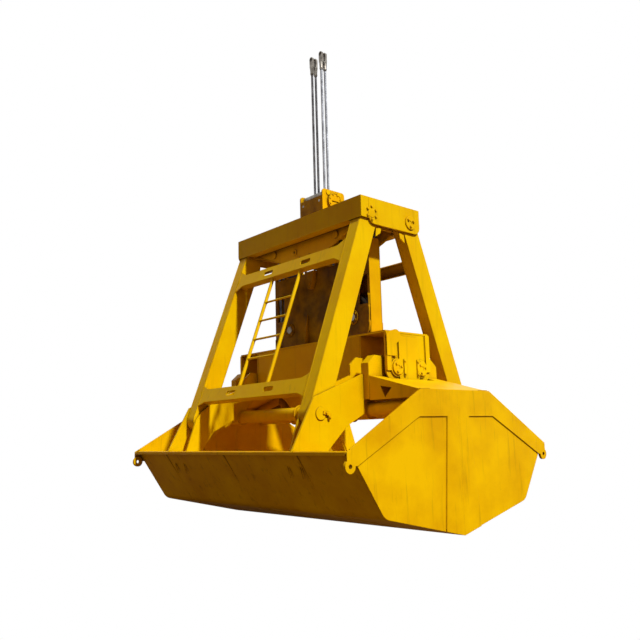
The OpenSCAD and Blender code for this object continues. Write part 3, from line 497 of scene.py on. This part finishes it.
# A ring with both edges chamfered, round the hole for a handling shackle
SHACKLE_PAD = [(SHACKLE_HOLE_R, 0), (SHACKLE_PAD_R, 0), (SHACKLE_PAD_R, 10), (SHACKLE_PAD_R - 3, 13),
               (SHACKLE_HOLE_R + 2, 13), (SHACKLE_HOLE_R, 10), (SHACKLE_HOLE_R, 0)]
head_beads = []
for turn in (1, -1):
    # Seams between the end plate and the end strips, at the strip's edge and at the beam's corner
    for x, start_z, end_z, radius in ((-END_PLATE_X, HEAD_Z - SEAM_INSET, HEAD_LOW, WELD_R * 0.7),
                                      (-HEAD_X + SEAM_INSET, HEAD_LOW + SEAM_INSET, HEAD_Z - SEAM_INSET,
                                       WELD_R * 0.6)):
        head_beads.append(bead(mirrored([(x, -HEAD_Y, start_z), (x, -HEAD_Y, end_z)], turn, turn), radius))
    # The beam's lower edges and the webs under it
    for x, y in ((WEB_X, WEB_TOP_Y), (HEAD_X, HEAD_Y - CORNER_INSET)):
        head_beads.append(bead([(turn * x, -y, HEAD_LOW), (turn * x, y, HEAD_LOW)]))
    web_edge = [(-WEB_X, -WEB_TOP_Y, HEAD_LOW - WEB_SETBACK), (-WEB_X, -WEB_FOOT_Y, HEAD_LOW - WEB_DROP),
                (-WEB_X, WEB_FOOT_Y, HEAD_LOW - WEB_DROP), (-WEB_X, WEB_TOP_Y, HEAD_LOW - WEB_SETBACK)]
    head_beads.append(bead(mirrored(web_edge, turn), WELD_R * 1.4))
    head_beads.append(bead([(-END_PLATE_X, turn * RIB_Y, HEAD_LOW), (END_PLATE_X, turn * RIB_Y, HEAD_LOW)]))
    head_beads.append(turned(SHACKLE_PAD, place(-turn * WEB_X, turn * SHACKLE_Y, SHACKLE_Z), (-turn, 0, 0)))
add_piece("head_welds", head_beads, yellow_enamel, "head")


# Upper arm pins: forged steel shafts, held by round keepers bolted on the end plates and painted with them.
# The pin at the plate's square end has only a ring of bolts, the other one a thick round keeper.
WASHER_T = 3


def bolt(x, y, z, axis, across=24):
    """A hexagon bolt head on its washer, with proportions that follow its width across the flats."""
    r = across / math.sqrt(3)
    start = place(x, y, z)
    washer = turned([(r * 1.25, 0), (r * 1.25, WASHER_T), (0, WASHER_T)], start, axis, sides=16)
    hexagon = [(r, WASHER_T), (r, across * 0.62), (r * 0.86, across * 0.72), (0, across * 0.72)]
    return [washer, turned(hexagon, start, axis, sides=6)]


def bolt_ring(x, y, z, axis, count, ring_r, across=24, turn=0.0):
    """Bolts evenly round a centre, in a plane that faces along Y."""
    parts = []
    for k in range(count):
        angle = math.tau * (k + turn) / count
        parts += bolt(x + ring_r * math.cos(angle), y, z + ring_r * math.sin(angle), axis, across)
    return parts


def shaft(start, axis, radius, length):
    return turned([(0, 0), (radius, 0), (radius, length), (0, length)], start, axis)


def hollowed_cap(radius, thickness, chamfer, hollow_r, hollow_depth):
    """The profile of a round cap with a chamfered edge and a shallow hollow in its face."""
    return [(0, 0), (radius, 0), (radius, thickness - chamfer), (radius - chamfer, thickness),
            (hollow_r, thickness), (hollow_r - 2, thickness - hollow_depth), (0, thickness - hollow_depth)]


ARM_HEAD_X = 325
ARM_HEAD_Z = 3493
ARM_PIN_R = 50
ARM_PIN_L = HEAD_Y - RIB_Y + END_T / 2
KEEPER_R = 84
KEEPER_T = 14
DISC_SIDES = 48
keeper_profile = hollowed_cap(KEEPER_R, KEEPER_T, chamfer=3, hollow_r=22, hollow_depth=4)
pin_face = [(0, 0), (ARM_PIN_R + 6, 0), (ARM_PIN_R + 4, 4), (ARM_PIN_R - 4, 5), (0, 5)]
pin_parts = []
for turn in (1, -1):
    face = -HEAD_Y * turn
    out = (0, -turn, 0)
    for x, keeper in ((-ARM_HEAD_X * turn, False), (ARM_HEAD_X * turn, True)):
        centre = place(x, face, ARM_HEAD_Z)
        pin_parts.append(shaft(centre, (0, turn, 0), ARM_PIN_R, ARM_PIN_L))
        if keeper:
            pin_parts.append(turned(keeper_profile, centre, out, DISC_SIDES))
            pin_parts += bolt_ring(x, face - KEEPER_T * turn, ARM_HEAD_Z, out, count=3,
                                   ring_r=KEEPER_R * 0.6, across=26, turn=0.2)
        else:
            pin_parts.append(turned(pin_face, centre, out, DISC_SIDES))
            pin_parts += bolt_ring(x, face, ARM_HEAD_Z, out, count=6, ring_r=KEEPER_R * 0.9, turn=0.5)
add_piece("arm_head_pin_keepers", pin_parts, yellow_enamel, "head", ("arm_head_pins",))


# Arms: welded box girders, two on each side, their front plates a little proud of the side plates.
# Fillets run down all four edges, and a small bracket plate stands on the inner edge near the head.
ARM_FOOT_X = 1180
ARM_FOOT_Z = 1235
ARM_W = 245
ARM_OUT = 1173.5
ARM_IN = 1013.5
ARM_L = math.hypot(ARM_FOOT_X - ARM_HEAD_X, ARM_HEAD_Z - ARM_FOOT_Z)
ARM_TILT = math.atan2(ARM_FOOT_X - ARM_HEAD_X, ARM_HEAD_Z - ARM_FOOT_Z)


def on_arm(side, across, y, down):
    """A point by its place in an arm, across it (outward is minus) and down it. Side -1 is the left arms."""
    x = ARM_HEAD_X + down * math.sin(ARM_TILT) - across * math.cos(ARM_TILT)
    return side * x, y, ARM_HEAD_Z - down * math.cos(ARM_TILT) - across * math.sin(ARM_TILT)


BAR_TOP_DROP = 510
BAR_LOW_DROP = 2137
BAR_TOP_END_HALF = 148
BAR_LOW_END_HALF = 128
BAR_SETBACK = 4
EDGE_INSET = 12
BRACKET_T = 16
BRACKET_OUTLINE = [(236, 3335), (152, 3353), (166, 3290), (246, 3236)]
for side, side_name in ((-1, "left"), (1, "right")):
    parts = []
    for end in (-1, 1):
        for across in (-ARM_W / 2, ARM_W / 2):
            for y in (ARM_OUT - EDGE_INSET, ARM_IN + EDGE_INSET):
                edge = [on_arm(side, across, end * y, down) for down in (ARM_W / 2, ARM_L - ARM_W / 2)]
                parts.append(bead(edge, WELD_R * 0.9))
        bracket = [(side * x, end * ARM_OUT, z) for x, z in BRACKET_OUTLINE]
        parts.append(plate(bracket, (0, -end, 0), BRACKET_T))
        for drop, half in ((BAR_TOP_DROP, BAR_TOP_END_HALF), (BAR_LOW_DROP, BAR_LOW_END_HALF)):
            parts.append(bead([on_arm(side, -ARM_W / 2, end * (ARM_IN - BAR_SETBACK), down)
                               for down in (drop - half, drop + half)]))
    add_piece(f"arm_welds_{side_name}", parts, yellow_enamel, f"{side_name}_arms")


# Ladder: two lengths of gas pipe with rungs of round bar let in and welded all round.
# It is welded between the left arms' two crossbars, just inside their front plates.
def round_bar(points, radius, rings, sides):
    """A plain round bar or pipe along a line of millimetre points."""
    return swept([place(*p) for p in points], rings, sides, lambda at, angle: radius * MM)


LADDER_W = 545
STRINGER_R = 21
RUNG_R = 13
RUNG_PITCH = 254
RUNG_DROP = 936
RUNG_N = 4
BAR_TOP_H = 165
BAR_LOW_H = 168
BAR_T = 14
SEAT_GAP = 0.3
STRINGER_SIDES = 20
RUNG_SIDES = 14
# Fillets round the pipes' ends and round the rungs where they enter the pipes
stringer_fillet = [(STRINGER_R, 0), (STRINGER_R + 7, 0), (STRINGER_R + 5, 5), (STRINGER_R, 9)]
rung_fillet = [(RUNG_R + 8, STRINGER_R - 4), (RUNG_R + 5, STRINGER_R + 3), (RUNG_R, STRINGER_R + 8)]
ladder_parts = []
ladder_across = -ARM_W / 2 + BAR_T + STRINGER_R + SEAT_GAP
ladder_top = BAR_TOP_DROP + BAR_TOP_H / 2
ladder_foot = BAR_LOW_DROP - BAR_LOW_H / 2
arm_down = Vector(on_arm(-1, 0, 0, 1)) - Vector(on_arm(-1, 0, 0, 0))
for end in (-1, 1):
    stringer = [on_arm(-1, ladder_across, end * LADDER_W / 2, down) for down in (ladder_top, ladder_foot)]
    ladder_parts.append(round_bar(stringer, STRINGER_R, rings=12, sides=STRINGER_SIDES))
    for tip, way in zip(stringer, (1, -1)):
        ladder_parts.append(turned(stringer_fillet, place(*tip), arm_down * way, STRINGER_SIDES))
for k in range(RUNG_N):
    rung = [on_arm(-1, ladder_across, y, RUNG_DROP + k * RUNG_PITCH) for y in (-LADDER_W / 2, LADDER_W / 2)]
    ladder_parts.append(round_bar(rung, RUNG_R, rings=8, sides=RUNG_SIDES))
    for tip, way in zip(rung, (1, -1)):
        ladder_parts.append(turned(rung_fillet, place(*tip), (0, way, 0), RUNG_SIDES))
add_piece("ladder_pipes_and_rungs", ladder_parts, yellow_enamel, "left_arms", ("ladder",))


# Lower beam ends: hinge pins under thick caps with three bolts, each held by an upright keeper bar.
# An ear for the dock sling stands on the near end, and fillets close the plate joints.
LOW_X = 355
LOW_Y = 1355
LOW_Z = 1590
LOW_TOP = 2110
LOW_T = 20
EDGE_T = 18
HINGE_X = 197
HINGE_Z = 1725
HINGE_PIN_R = 60
BEARING_OUT = 978.5
HINGE_PIN_L = LOW_Y + EDGE_T - BEARING_OUT + LOW_T
CAP_R = 81
CAP_T = 18
# A cap's bolts start a little under its face, in a shallow seat
CAP_SEAT = 2
KEEPER_BAR_X = (-86, 130)
KEEPER_BAR_W = 26
KEEPER_BAR_H = 190
KEEPER_BAR_T = 14
cap_profile = hollowed_cap(CAP_R, CAP_T, chamfer=4, hollow_r=26, hollow_depth=5)
hinge_parts = []
for end in (-1, 1):
    face = end * (LOW_Y + EDGE_T)
    out = (0, end, 0)
    for x in (-HINGE_X, HINGE_X):
        centre = place(x, face, HINGE_Z)
        hinge_parts.append(shaft(centre, (0, -end, 0), HINGE_PIN_R, HINGE_PIN_L))
        hinge_parts.append(turned(cap_profile, centre, out, DISC_SIDES))
        hinge_parts += bolt_ring(x, face + end * (CAP_T - CAP_SEAT), HINGE_Z, out, count=3,
                                 ring_r=CAP_R * 0.62, across=22, turn=0.1)
    w, h = KEEPER_BAR_W / 2, KEEPER_BAR_H / 2
    for x in KEEPER_BAR_X:
        outline = [(x + across, face, HINGE_Z + up) for across, up in ((-w, -h), (w, -h), (w, h), (-w, h))]
        hinge_parts.append(plate(outline, out, KEEPER_BAR_T))
        for z in (HINGE_Z - h * 0.75, HINGE_Z + h * 0.75):
            hinge_parts += bolt(x, face + end * KEEPER_BAR_T, z, out, across=18)
add_piece("hinge_pin_caps", hinge_parts, yellow_enamel, "lower_beam", ("hinge_pins",))

EAR_X = -205
EAR_Z = 2073
EAR_R = 72
EAR_FOOT_Z = 1850
EAR_T = EDGE_T + 6
EDGE_BAR_W = 70
EDGE_BAR_RISE = 100
ear_arc = [(EAR_X + EAR_R * math.cos(math.radians(a)), EAR_Z + EAR_R * math.sin(math.radians(a)))
           for a in range(100, -1, -20)]
ear = [(-LOW_X, EAR_FOOT_Z), (-LOW_X, 2075), (-300, 2122)] + ear_arc
ear += [(EAR_X + EAR_R, 2040), (-204, 1985), (-204, EAR_FOOT_Z)]
beam_parts = [plate([(x, -LOW_Y, z) for x, z in ear], (0, -1, 0), EAR_T)]
for end in (-1, 1):
    y = end * (LOW_Y + 1)
    for x in (-LOW_X + EDGE_BAR_W, LOW_X - EDGE_BAR_W):
        beam_parts.append(bead([(x, y, LOW_Z + EDGE_BAR_RISE), (x, y, LOW_TOP)]))
    beam_parts.append(bead([(-LOW_X, end * LOW_Y, LOW_TOP), (LOW_X, end * LOW_Y, LOW_TOP)]))
for side in (-1, 1):
    x = side * LOW_X
    beam_parts.append(bead([(x, -LOW_Y + CORNER_INSET, LOW_TOP), (x, LOW_Y - CORNER_INSET, LOW_TOP)]))
    for end in (-1, 1):
        y = end * (BEARING_OUT - LOW_T)
        beam_parts.append(bead([(x, y, LOW_Z), (x, y, LOW_TOP)]))
add_piece("lower_beam_welds_and_ear", beam_parts, yellow_enamel, "lower_beam")


# Sheave housing: flat welded case over the lower sheaves, with stiffened posts at its ends.
# A wedge socket, where a spare rope end is clamped, hangs on its long side, and a grease pipe runs
# along its foot.
HOUSE_X = 92
HOUSE_Y = 900
HOUSE_Z = 2130
POST_TOP = 3330
SHEAVE_Y = 600
SHEAVE_LOW_Z = 2400
AXLE_R = 45
FLANGE_R = AXLE_R + 46
FLANGE_T = 15
FLANGE_BOLT_N = 6
FLANGE_BOLT_RING_R = AXLE_R + 26
STIFFENER_Y = 230
STIFFENER_T = 14
STIFFENER_W = 60


def ring_profile(inner, outer, thickness, chamfer):
    """The profile of a flat ring with a chamfered outer edge."""
    return [(inner, 0), (outer, 0), (outer, thickness - chamfer), (outer - chamfer, thickness),
            (inner, thickness), (inner, 0)]


# Distance out from the housing's side and height above its foot: broad below, narrow above
stiffener_outline = [(0, 10), (STIFFENER_W, 10), (STIFFENER_W, 90), (16, 420), (0, 420)]
axle_flange = ring_profile(AXLE_R + 2, FLANGE_R, FLANGE_T, chamfer=3)
house_parts = []
for turn in (1, -1):
    x = turn * HOUSE_X
    out = (turn, 0, 0)
    for y in (-HOUSE_Y, HOUSE_Y):
        house_parts.append(bead([(x, y, HOUSE_Z), (x, y, POST_TOP)]))
    house_parts.append(bead([(x, -HOUSE_Y, HOUSE_Z), (x, HOUSE_Y, HOUSE_Z)], WELD_R * 1.3))
    for y in (-SHEAVE_Y, SHEAVE_Y):
        house_parts.append(turned(axle_flange, place(x, y, SHEAVE_LOW_Z), out, sides=40))
        for k in range(FLANGE_BOLT_N):
            angle = math.tau * (k + 0.5) / FLANGE_BOLT_N
            house_parts += bolt(turn * (HOUSE_X + FLANGE_T), y + FLANGE_BOLT_RING_R * math.cos(angle),
                                SHEAVE_LOW_Z + FLANGE_BOLT_RING_R * math.sin(angle), out, across=20)
    for y in (-STIFFENER_Y, STIFFENER_Y):
        stiffener = [(turn * (HOUSE_X + a), y - STIFFENER_T / 2, HOUSE_Z + b) for a, b in stiffener_outline]
        house_parts.append(plate(stiffener, (0, 1, 0), STIFFENER_T))

# The wedge socket tapers downwards, and two pins stand out of its front
WEDGE_T = 62
WEDGE_PIN_Y = 122
WEDGE_PIN_R = 20
WEDGE_PIN_L = 72
wedge_outline = [(40, 3095), (205, 3095), (190, 2960), (150, 2872), (95, 2872), (55, 2960)]
house_parts.append(plate([(-HOUSE_X, y, z) for y, z in wedge_outline], (-1, 0, 0), WEDGE_T))
for z in (3060, 2935):
    pin = [(WEDGE_PIN_R, 0), (WEDGE_PIN_R, WEDGE_PIN_L - 4), (WEDGE_PIN_R - 3, WEDGE_PIN_L), (0, WEDGE_PIN_L)]
    house_parts.append(turned(pin, place(-HOUSE_X, WEDGE_PIN_Y, z), (-1, 0, 0), sides=20))

# The grease pipe runs along the foot, bends up the near post and ends at the upper clip
PIPE_R = 9
CLIP_W = 30
CLIP_H = 22
CLIP_T = 6
CLIP_PROUD = 5
pipe_route = [(-116, -360, 2146), (-118, -480, 2142), (-118, -600, 2140), (-118, -720, 2140),
              (-120, -800, 2144), (-122, -858, 2166), (-122, -888, 2208), (-122, -900, 2270),
              (-122, -902, 2420), (-122, -902, 2640)]
house_parts.append(round_bar(pipe_route, PIPE_R, rings=60, sides=12))
clip_x = -HOUSE_X - STIFFENER_T
clip_outline = [(0, 0), (-CLIP_W, 0), (-CLIP_W, CLIP_H), (0, CLIP_H)]
for z in (2300, 2480, 2620):
    clip = [(clip_x + a, -HOUSE_Y - CLIP_PROUD, z + b) for a, b in clip_outline]
    house_parts.append(plate(clip, (0, 1, 0), CLIP_T))
# These fittings take the grease and the painted shade on their side faces as well
add_piece("housing_fittings", house_parts, greasy_shaded_enamel, "lower_beam")


# Shell fittings: a rounded bar along the rim, seams where the plates of floor and back meet, and fillets.
# Each outer lug has a keeper plate with two bolts over the arm's foot pin, and the hinge hubs have
# wear rings.
HALF_W = 2000
DOUBLER_T = 12
SIDE_FACE = HALF_W - DOUBLER_T
INNER_FACE = 1972
BACK_X = 1535
RIM_Z = 868
RIM_R = 13
KNEE_X = 1128
KNEE_Z = 260
TUBE_X = 448
TUBE_Z = 1278
TUBE_R = 80
FLANGE_PAIR_W = 100
LUG_OUT = 1178.5
LUG_IN = 1008.5
LUG_T = 25
HUB_BLOCK = 110
KEEPER_PLATE_T = 12
# The floor's plates are not alike on the two shells: the seams swap ends with the side
SEAM_Y = (1293, 32, -1227)
FLOOR_SEAM_END_X = 230
# Outline points, as distance from the grab's middle and height above the lips
doubler_outline = [(280, 90), (177, 1177), (597, 1177), (1458, 748)]
keeper_outline = [(1150, 1262), (1052, 1240), (1060, 1176), (1090, 1182), (1086, 1214), (1158, 1228)]
keeper_bolts = ((1120, 1240), (1074, 1196))
lug_fillet = [(1470, RIM_Z - 60), (1400, 610)]
back_edge_fillet = [(BACK_X, RIM_Z), (KNEE_X + 60, KNEE_Z + 92)]
shoulder_fillet = [(555, 1452), (400, 1452)]
tube_flange = [(TUBE_R - 4, 0), (TUBE_R + 24, 0), (TUBE_R + 24, 12), (TUBE_R + 21, 15), (TUBE_R - 4, 15)]
tube_fillet = [(TUBE_R, -6), (TUBE_R + 9, -5), (TUBE_R + 6, 6), (TUBE_R, 9)]
wear_ring = ring_profile(inner=62, outer=104, thickness=10, chamfer=4)
back_seam = [(BACK_X + 0.5, RIM_Z - 16), (KNEE_X * 1.01, KNEE_Z * 1.13)]
floor_seam = [(KNEE_X * 0.93, KNEE_Z * 0.925), (FLOOR_SEAM_END_X, FLOOR_SEAM_END_X * KNEE_Z / KNEE_X - 1)]


def on_shell(side, outline, y):
    """Outline points of one shell, in the plane at y."""
    return [(side * x, y, z) for x, z in outline]


for side, side_name in ((-1, "left"), (1, "right")):
    rim_x = side * (BACK_X + 2)
    rim = [(rim_x, -INNER_FACE, RIM_Z - 2), (rim_x, INNER_FACE, RIM_Z - 2)]
    parts = [round_bar(rim, RIM_R, rings=60, sides=12)]
    for seam_y in SEAM_Y:
        y = seam_y * -side
        for seam in (back_seam, floor_seam):
            parts.append(bead(on_shell(side, seam, y), WELD_R * 0.9))
    # A pair of flanges where the torsion tube's halves meet
    for y, way in ((FLANGE_PAIR_W, -1), (0, 1)):
        centre = place(side * TUBE_X, side * y, TUBE_Z)
        parts.append(turned(tube_flange, centre, (0, side * way, 0), DISC_SIDES))
    for end in (-1, 1):
        out = (0, end, 0)
        parts.append(bead(on_shell(side, back_edge_fillet, end * INNER_FACE)))
        # Doubler fillets on the outside of the side plate
        parts.append(bead(on_shell(side, doubler_outline, end * (SIDE_FACE + 1)), WELD_R * 0.8))
        parts.append(bead(on_shell(side, shoulder_fillet, end * INNER_FACE)))
        for tube_y, way in ((LUG_OUT + LUG_T, 1), (LUG_OUT, -1), (INNER_FACE, -1)):
            centre = place(side * TUBE_X, end * tube_y, TUBE_Z)
            parts.append(turned(tube_fillet, centre, (0, end * way, 0), sides=40))
        # Keeper over the foot pin, on the boss of the outer lug
        face = end * (LUG_OUT + LUG_T + END_T / 2)
        parts.append(plate(on_shell(side, keeper_outline, face), out, KEEPER_PLATE_T))
        for x, z in keeper_bolts:
            parts += bolt(side * x, face + end * KEEPER_PLATE_T, z, out, across=20)
        for hub_y, way in ((LUG_OUT + HUB_BLOCK, end), (LUG_IN - LUG_T, -end)):
            centre = place(side * HINGE_X, end * hub_y, HINGE_Z)
            parts.append(turned(wear_ring, centre, (0, way, 0), DISC_SIDES))
        for y in (LUG_OUT, LUG_OUT + LUG_T, LUG_IN, LUG_IN - LUG_T):
            parts.append(bead(on_shell(side, lug_fillet, end * y)))
    add_piece(f"shell_{side_name}_seams_and_keepers", parts, scoured_enamel, f"{side_name}_shell")


# Rope guide: a welded box of thick plate with a round slotted cover bolted on its near face.
# Rope grease and painted shade darken its long sides, and four bolted feet with small webs hold it down on
# the head.
GUIDE_X = 190
GUIDE_Y = 222
GUIDE_T = 16
ROLLER_Z = 4067.8
ROLLER_AXLE_X = 93.3
COVER_R = 112
COVER_BOLT_N = 8
FOOT_L = 70
FOOT_NEAR = 20
FOOT_FAR = 90
FOOT_T = 14
FOOT_BOLT_OUT = 38
FOOT_WEB_T = 12
FOOT_WEB_INSET = 62
FOOT_WEB_OUT = 20
FOOT_WEB_TOP = 150
axle_cap = [(16.5, 0), (34, 0), (34, 8), (31, 11), (0, 11)]
cover_rim = [(COVER_R - 7, 0), (COVER_R + 1, 0), (COVER_R + 1, 5), (COVER_R - 5, 5), (COVER_R - 7, 0)]
guide_parts = []
for end in (-1, 1):
    out = (0, end, 0)
    if end < 0:
        cover_z = ROLLER_Z - COVER_R
        face = end * (GUIDE_Y + 2 * GUIDE_T)
        guide_parts += bolt_ring(0, face, cover_z, out, count=COVER_BOLT_N, ring_r=COVER_R * 0.84,
                                 across=16, turn=0.5)
        guide_parts.append(turned(cover_rim, place(0, face, cover_z), out, sides=56))
    foot_seam = [(-GUIDE_X, end * GUIDE_Y, HEAD_Z), (GUIDE_X, end * GUIDE_Y, HEAD_Z)]
    guide_parts.append(bead(foot_seam, WELD_R * 1.4))
    for x in (-ROLLER_AXLE_X, ROLLER_AXLE_X):
        guide_parts.append(turned(axle_cap, place(x, end * GUIDE_Y, ROLLER_Z), out))
    foot_y = end * (GUIDE_Y - (FOOT_FAR + FOOT_NEAR) / 2)
    web_y = end * (GUIDE_Y - FOOT_WEB_INSET)
    for side in (-1, 1):
        foot = [(side * x, end * (GUIDE_Y - inset), HEAD_Z)
                for x, inset in ((GUIDE_X, FOOT_FAR), (GUIDE_X + FOOT_L, FOOT_FAR),
                                 (GUIDE_X + FOOT_L, FOOT_NEAR), (GUIDE_X, FOOT_NEAR))]
        guide_parts.append(plate(foot, (0, 0, 1), FOOT_T))
        guide_parts += bolt(side * (GUIDE_X + FOOT_BOLT_OUT), foot_y, HEAD_Z + FOOT_T, (0, 0, 1), across=30)
        web = [(side * GUIDE_X, web_y, HEAD_Z + FOOT_T),
               (side * (GUIDE_X + FOOT_WEB_OUT), web_y, HEAD_Z + FOOT_T),
               (side * GUIDE_X, web_y, HEAD_Z + FOOT_WEB_TOP)]
        guide_parts.append(plate(web, out, FOOT_WEB_T))
add_piece("rope_guide_fittings", guide_parts, yellow_enamel, "head")


# Rollers, axles and pins of turned and ground steel, in the same bare finish as the rope sockets.
# The upper sheaves' axles end flush in the webs and are sprayed over with them.
dress([name for name, slot in slots.items() if slot == "steel"], turned_steel)
dress(["upper_sheave_axles"], yellow_enamel)


# Ropes inside the grab, of the same laid steel wire: two holding ropes end in wedge sockets in the head,
# and two closing ropes run over the sheaves between head and lower beam. The falls grow as the beam
# goes down; here they are one fixed mesh between the two, tied to neither body.
ANCHOR_TOP = HEAD_LOW - WEB_DROP * 0.25
SHEAVE_R = 250
SHEAVE_TOP_Z = 3380
HALF_TURN_STEPS = 24
FALL_X = 34
DEAD_X = 68
DEAD_Z = 3449
BEND_Z = ROLLER_Z - 2 * COVER_R
IN_Y = -SHEAVE_Y + SHEAVE_R
OUT_Y = -SHEAVE_Y - SHEAVE_R


def at_height(a, b, z):
    """The point on the line through a and b at a height."""
    share = (z - a[2]) / (b[2] - a[2])
    return tuple(p + (q - p) * share for p, q in zip(a, b))


def half_turn(x, y, z, way):
    """Half a turn of rope round a sheave, over it (way 1) or under it (way -1)."""
    angles = [math.pi * k / HALF_TURN_STEPS for k in range(HALF_TURN_STEPS + 1)]
    return laid_rope([place(x, y + SHEAVE_R * math.cos(a), z + way * SHEAVE_R * math.sin(a)) for a in angles])


# A closing rope's lead comes from the guide's bend, and its dead end hangs from the anchor
lead = (-PAIR_X, -ROW_Y, BEND_Z), (-FALL_X, IN_Y, SHEAVE_LOW_Z)
dead = (DEAD_X, OUT_Y, DEAD_Z), (FALL_X, OUT_Y, SHEAVE_LOW_Z)
lead_top = at_height(*lead, SHEAVE_TOP_Z)
dead_top = at_height(*dead, SHEAVE_TOP_Z)
head_lines = [[(PAIR_X, -ROW_Y, ANCHOR_TOP), (PAIR_X, -ROW_Y, GUIDE_TOP)],
              [(-PAIR_X, -ROW_Y, GUIDE_TOP), lead[0], lead_top],
              [dead_top, dead[0]]]
fall_lines = [[lead_top, lead[1]],
              [(0, OUT_Y, SHEAVE_TOP_Z), (-FALL_X, OUT_Y, SHEAVE_LOW_Z)],
              [(0, IN_Y, SHEAVE_TOP_Z), (FALL_X, IN_Y, SHEAVE_LOW_Z)],
              [dead_top, dead[1]]]
head_ropes, fall_ropes, lower_ropes = [], [], []
for turn in (1, -1):
    for ropes, lines in ((head_ropes, head_lines), (fall_ropes, fall_lines)):
        ropes += [laid_rope([place(*p) for p in mirrored(line, turn, turn)]) for line in lines]
    head_ropes.append(half_turn(0, -SHEAVE_Y * turn, SHEAVE_TOP_Z, 1))
    for x in (-FALL_X, FALL_X):
        lower_ropes.append(half_turn(x * turn, -SHEAVE_Y * turn, SHEAVE_LOW_Z, -1))
add_piece("ropes_over_upper_sheaves", head_ropes, rope_steel, "head", ("ropes_in_head",))
add_piece("ropes_under_lower_sheaves", lower_ropes, rope_steel, "lower_beam",
          ("closing_rope_lower_turns",))
falls = mesh_object("closing_rope_falls_laid", joined(fall_ropes), rope_steel)
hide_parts("closing_rope_falls")
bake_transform(falls)


# Cast steel sheaves, rough from the mould, running on their axles under the ropes.
# They are dark all over with rope grease and sand.
SAND_PATCH = 33.3 * MM


def greased_cast_steel():
    # Near black, matt and rough as cast, with a brown tint where sand sticks in the grease
    material = blank_material("greased_cast_steel")
    spot = add_node(material, "ShaderNodeTexCoord")
    sand = add_node(material, "ShaderNodeTexNoise", {"Scale": 1 / SAND_PATCH, "Detail": 6.0},
                    Vector=spot.outputs["Object"])
    colour = add_node(material, "ShaderNodeValToRGB", Fac=sand.outputs["Fac"])
    ramp_colours(colour, [(0.35, "#1B1815"), (0.7, "#4A4238")])
    bump = add_node(material, "ShaderNodeBump", {"Strength": 0.3, "Distance": 0.002},
                    Height=sand.outputs["Fac"])
    iron = add_node(material, "ShaderNodeBsdfPrincipled", {"Metallic": 0.4, "Roughness": 0.6},
                    Base_Color=colour.outputs["Color"], Normal=bump.outputs["Normal"])
    add_node(material, "ShaderNodeOutputMaterial", Surface=iron.outputs["BSDF"])
    return material


dress([name for name, slot in slots.items() if slot == "sheave"], greased_cast_steel())


# The studio: a pale floor below the hanging grab, a white surround, one large lamp and a weak warm fill.
# Floor and surround are white to the camera, and the surround also to what shines, but they light the
# shaded sides only a little.
def white_to_camera(owner, seen_by_rest, other_rays=()):
    """Mixes plain white for camera rays, and any other kind named, with what lights the grab."""
    white = add_node(owner, "ShaderNodeEmission", {"Color": srgb("#FFFFFF"), "Strength": 1.0})
    path = add_node(owner, "ShaderNodeLightPath")
    rays = path.outputs["Is Camera Ray"]
    for kind in other_rays:
        either = add_node(owner, "ShaderNodeMath", {"operation": "MAXIMUM"}, i0=rays, i1=path.outputs[kind])
        rays = either.outputs[0]
    mix = add_node(owner, "ShaderNodeMixShader", i0=rays, i1=seen_by_rest, i2=white.outputs["Emission"])
    return mix.outputs["Shader"]


FLOOR_DROP = 0.9
FLOOR_HALF = 60
floor_material = blank_material("pale_floor")
pale = add_node(floor_material, "ShaderNodeBsdfDiffuse", {"Color": srgb("#6E5A48")})
seen_floor = white_to_camera(floor_material, pale.outputs["BSDF"])
add_node(floor_material, "ShaderNodeOutputMaterial", Surface=seen_floor)
floor_z = -LIPS_BELOW_ORIGIN - FLOOR_DROP
floor_corners = [Vector((x * FLOOR_HALF, y * FLOOR_HALF, floor_z))
                 for x, y in ((-1, -1), (1, -1), (1, 1), (-1, 1))]
floor = mesh_object("floor", (floor_corners, [(0, 1, 2, 3)]), floor_material)

world = bpy.data.worlds.new("studio")
bpy.context.scene.world = world
world.use_nodes = True
world.node_tree.nodes.clear()
fill = add_node(world, "ShaderNodeBackground", {"Color": srgb("#FFDDB8"), "Strength": 0.2})
surround = white_to_camera(world, fill.outputs["Background"], ("Is Glossy Ray", "Is Transmission Ray"))
add_node(world, "ShaderNodeOutputWorld", Surface=surround)

sun_data = bpy.data.lights.new("key_sun", "SUN")
sun_data.energy = 3.8
sun_data.angle = math.radians(4)
sun = bpy.data.objects.new("key_sun", sun_data)
bpy.context.scene.collection.objects.link(sun)
# High over the near end of the grab, so its end faces are bright and its long upright sides fall in shade
towards_sun = Vector((0.02, -0.70, 0.71))
sun.rotation_euler = towards_sun.to_track_quat("Z", "Y").to_euler()

bpy.context.scene.view_settings.view_transform = "Standard"
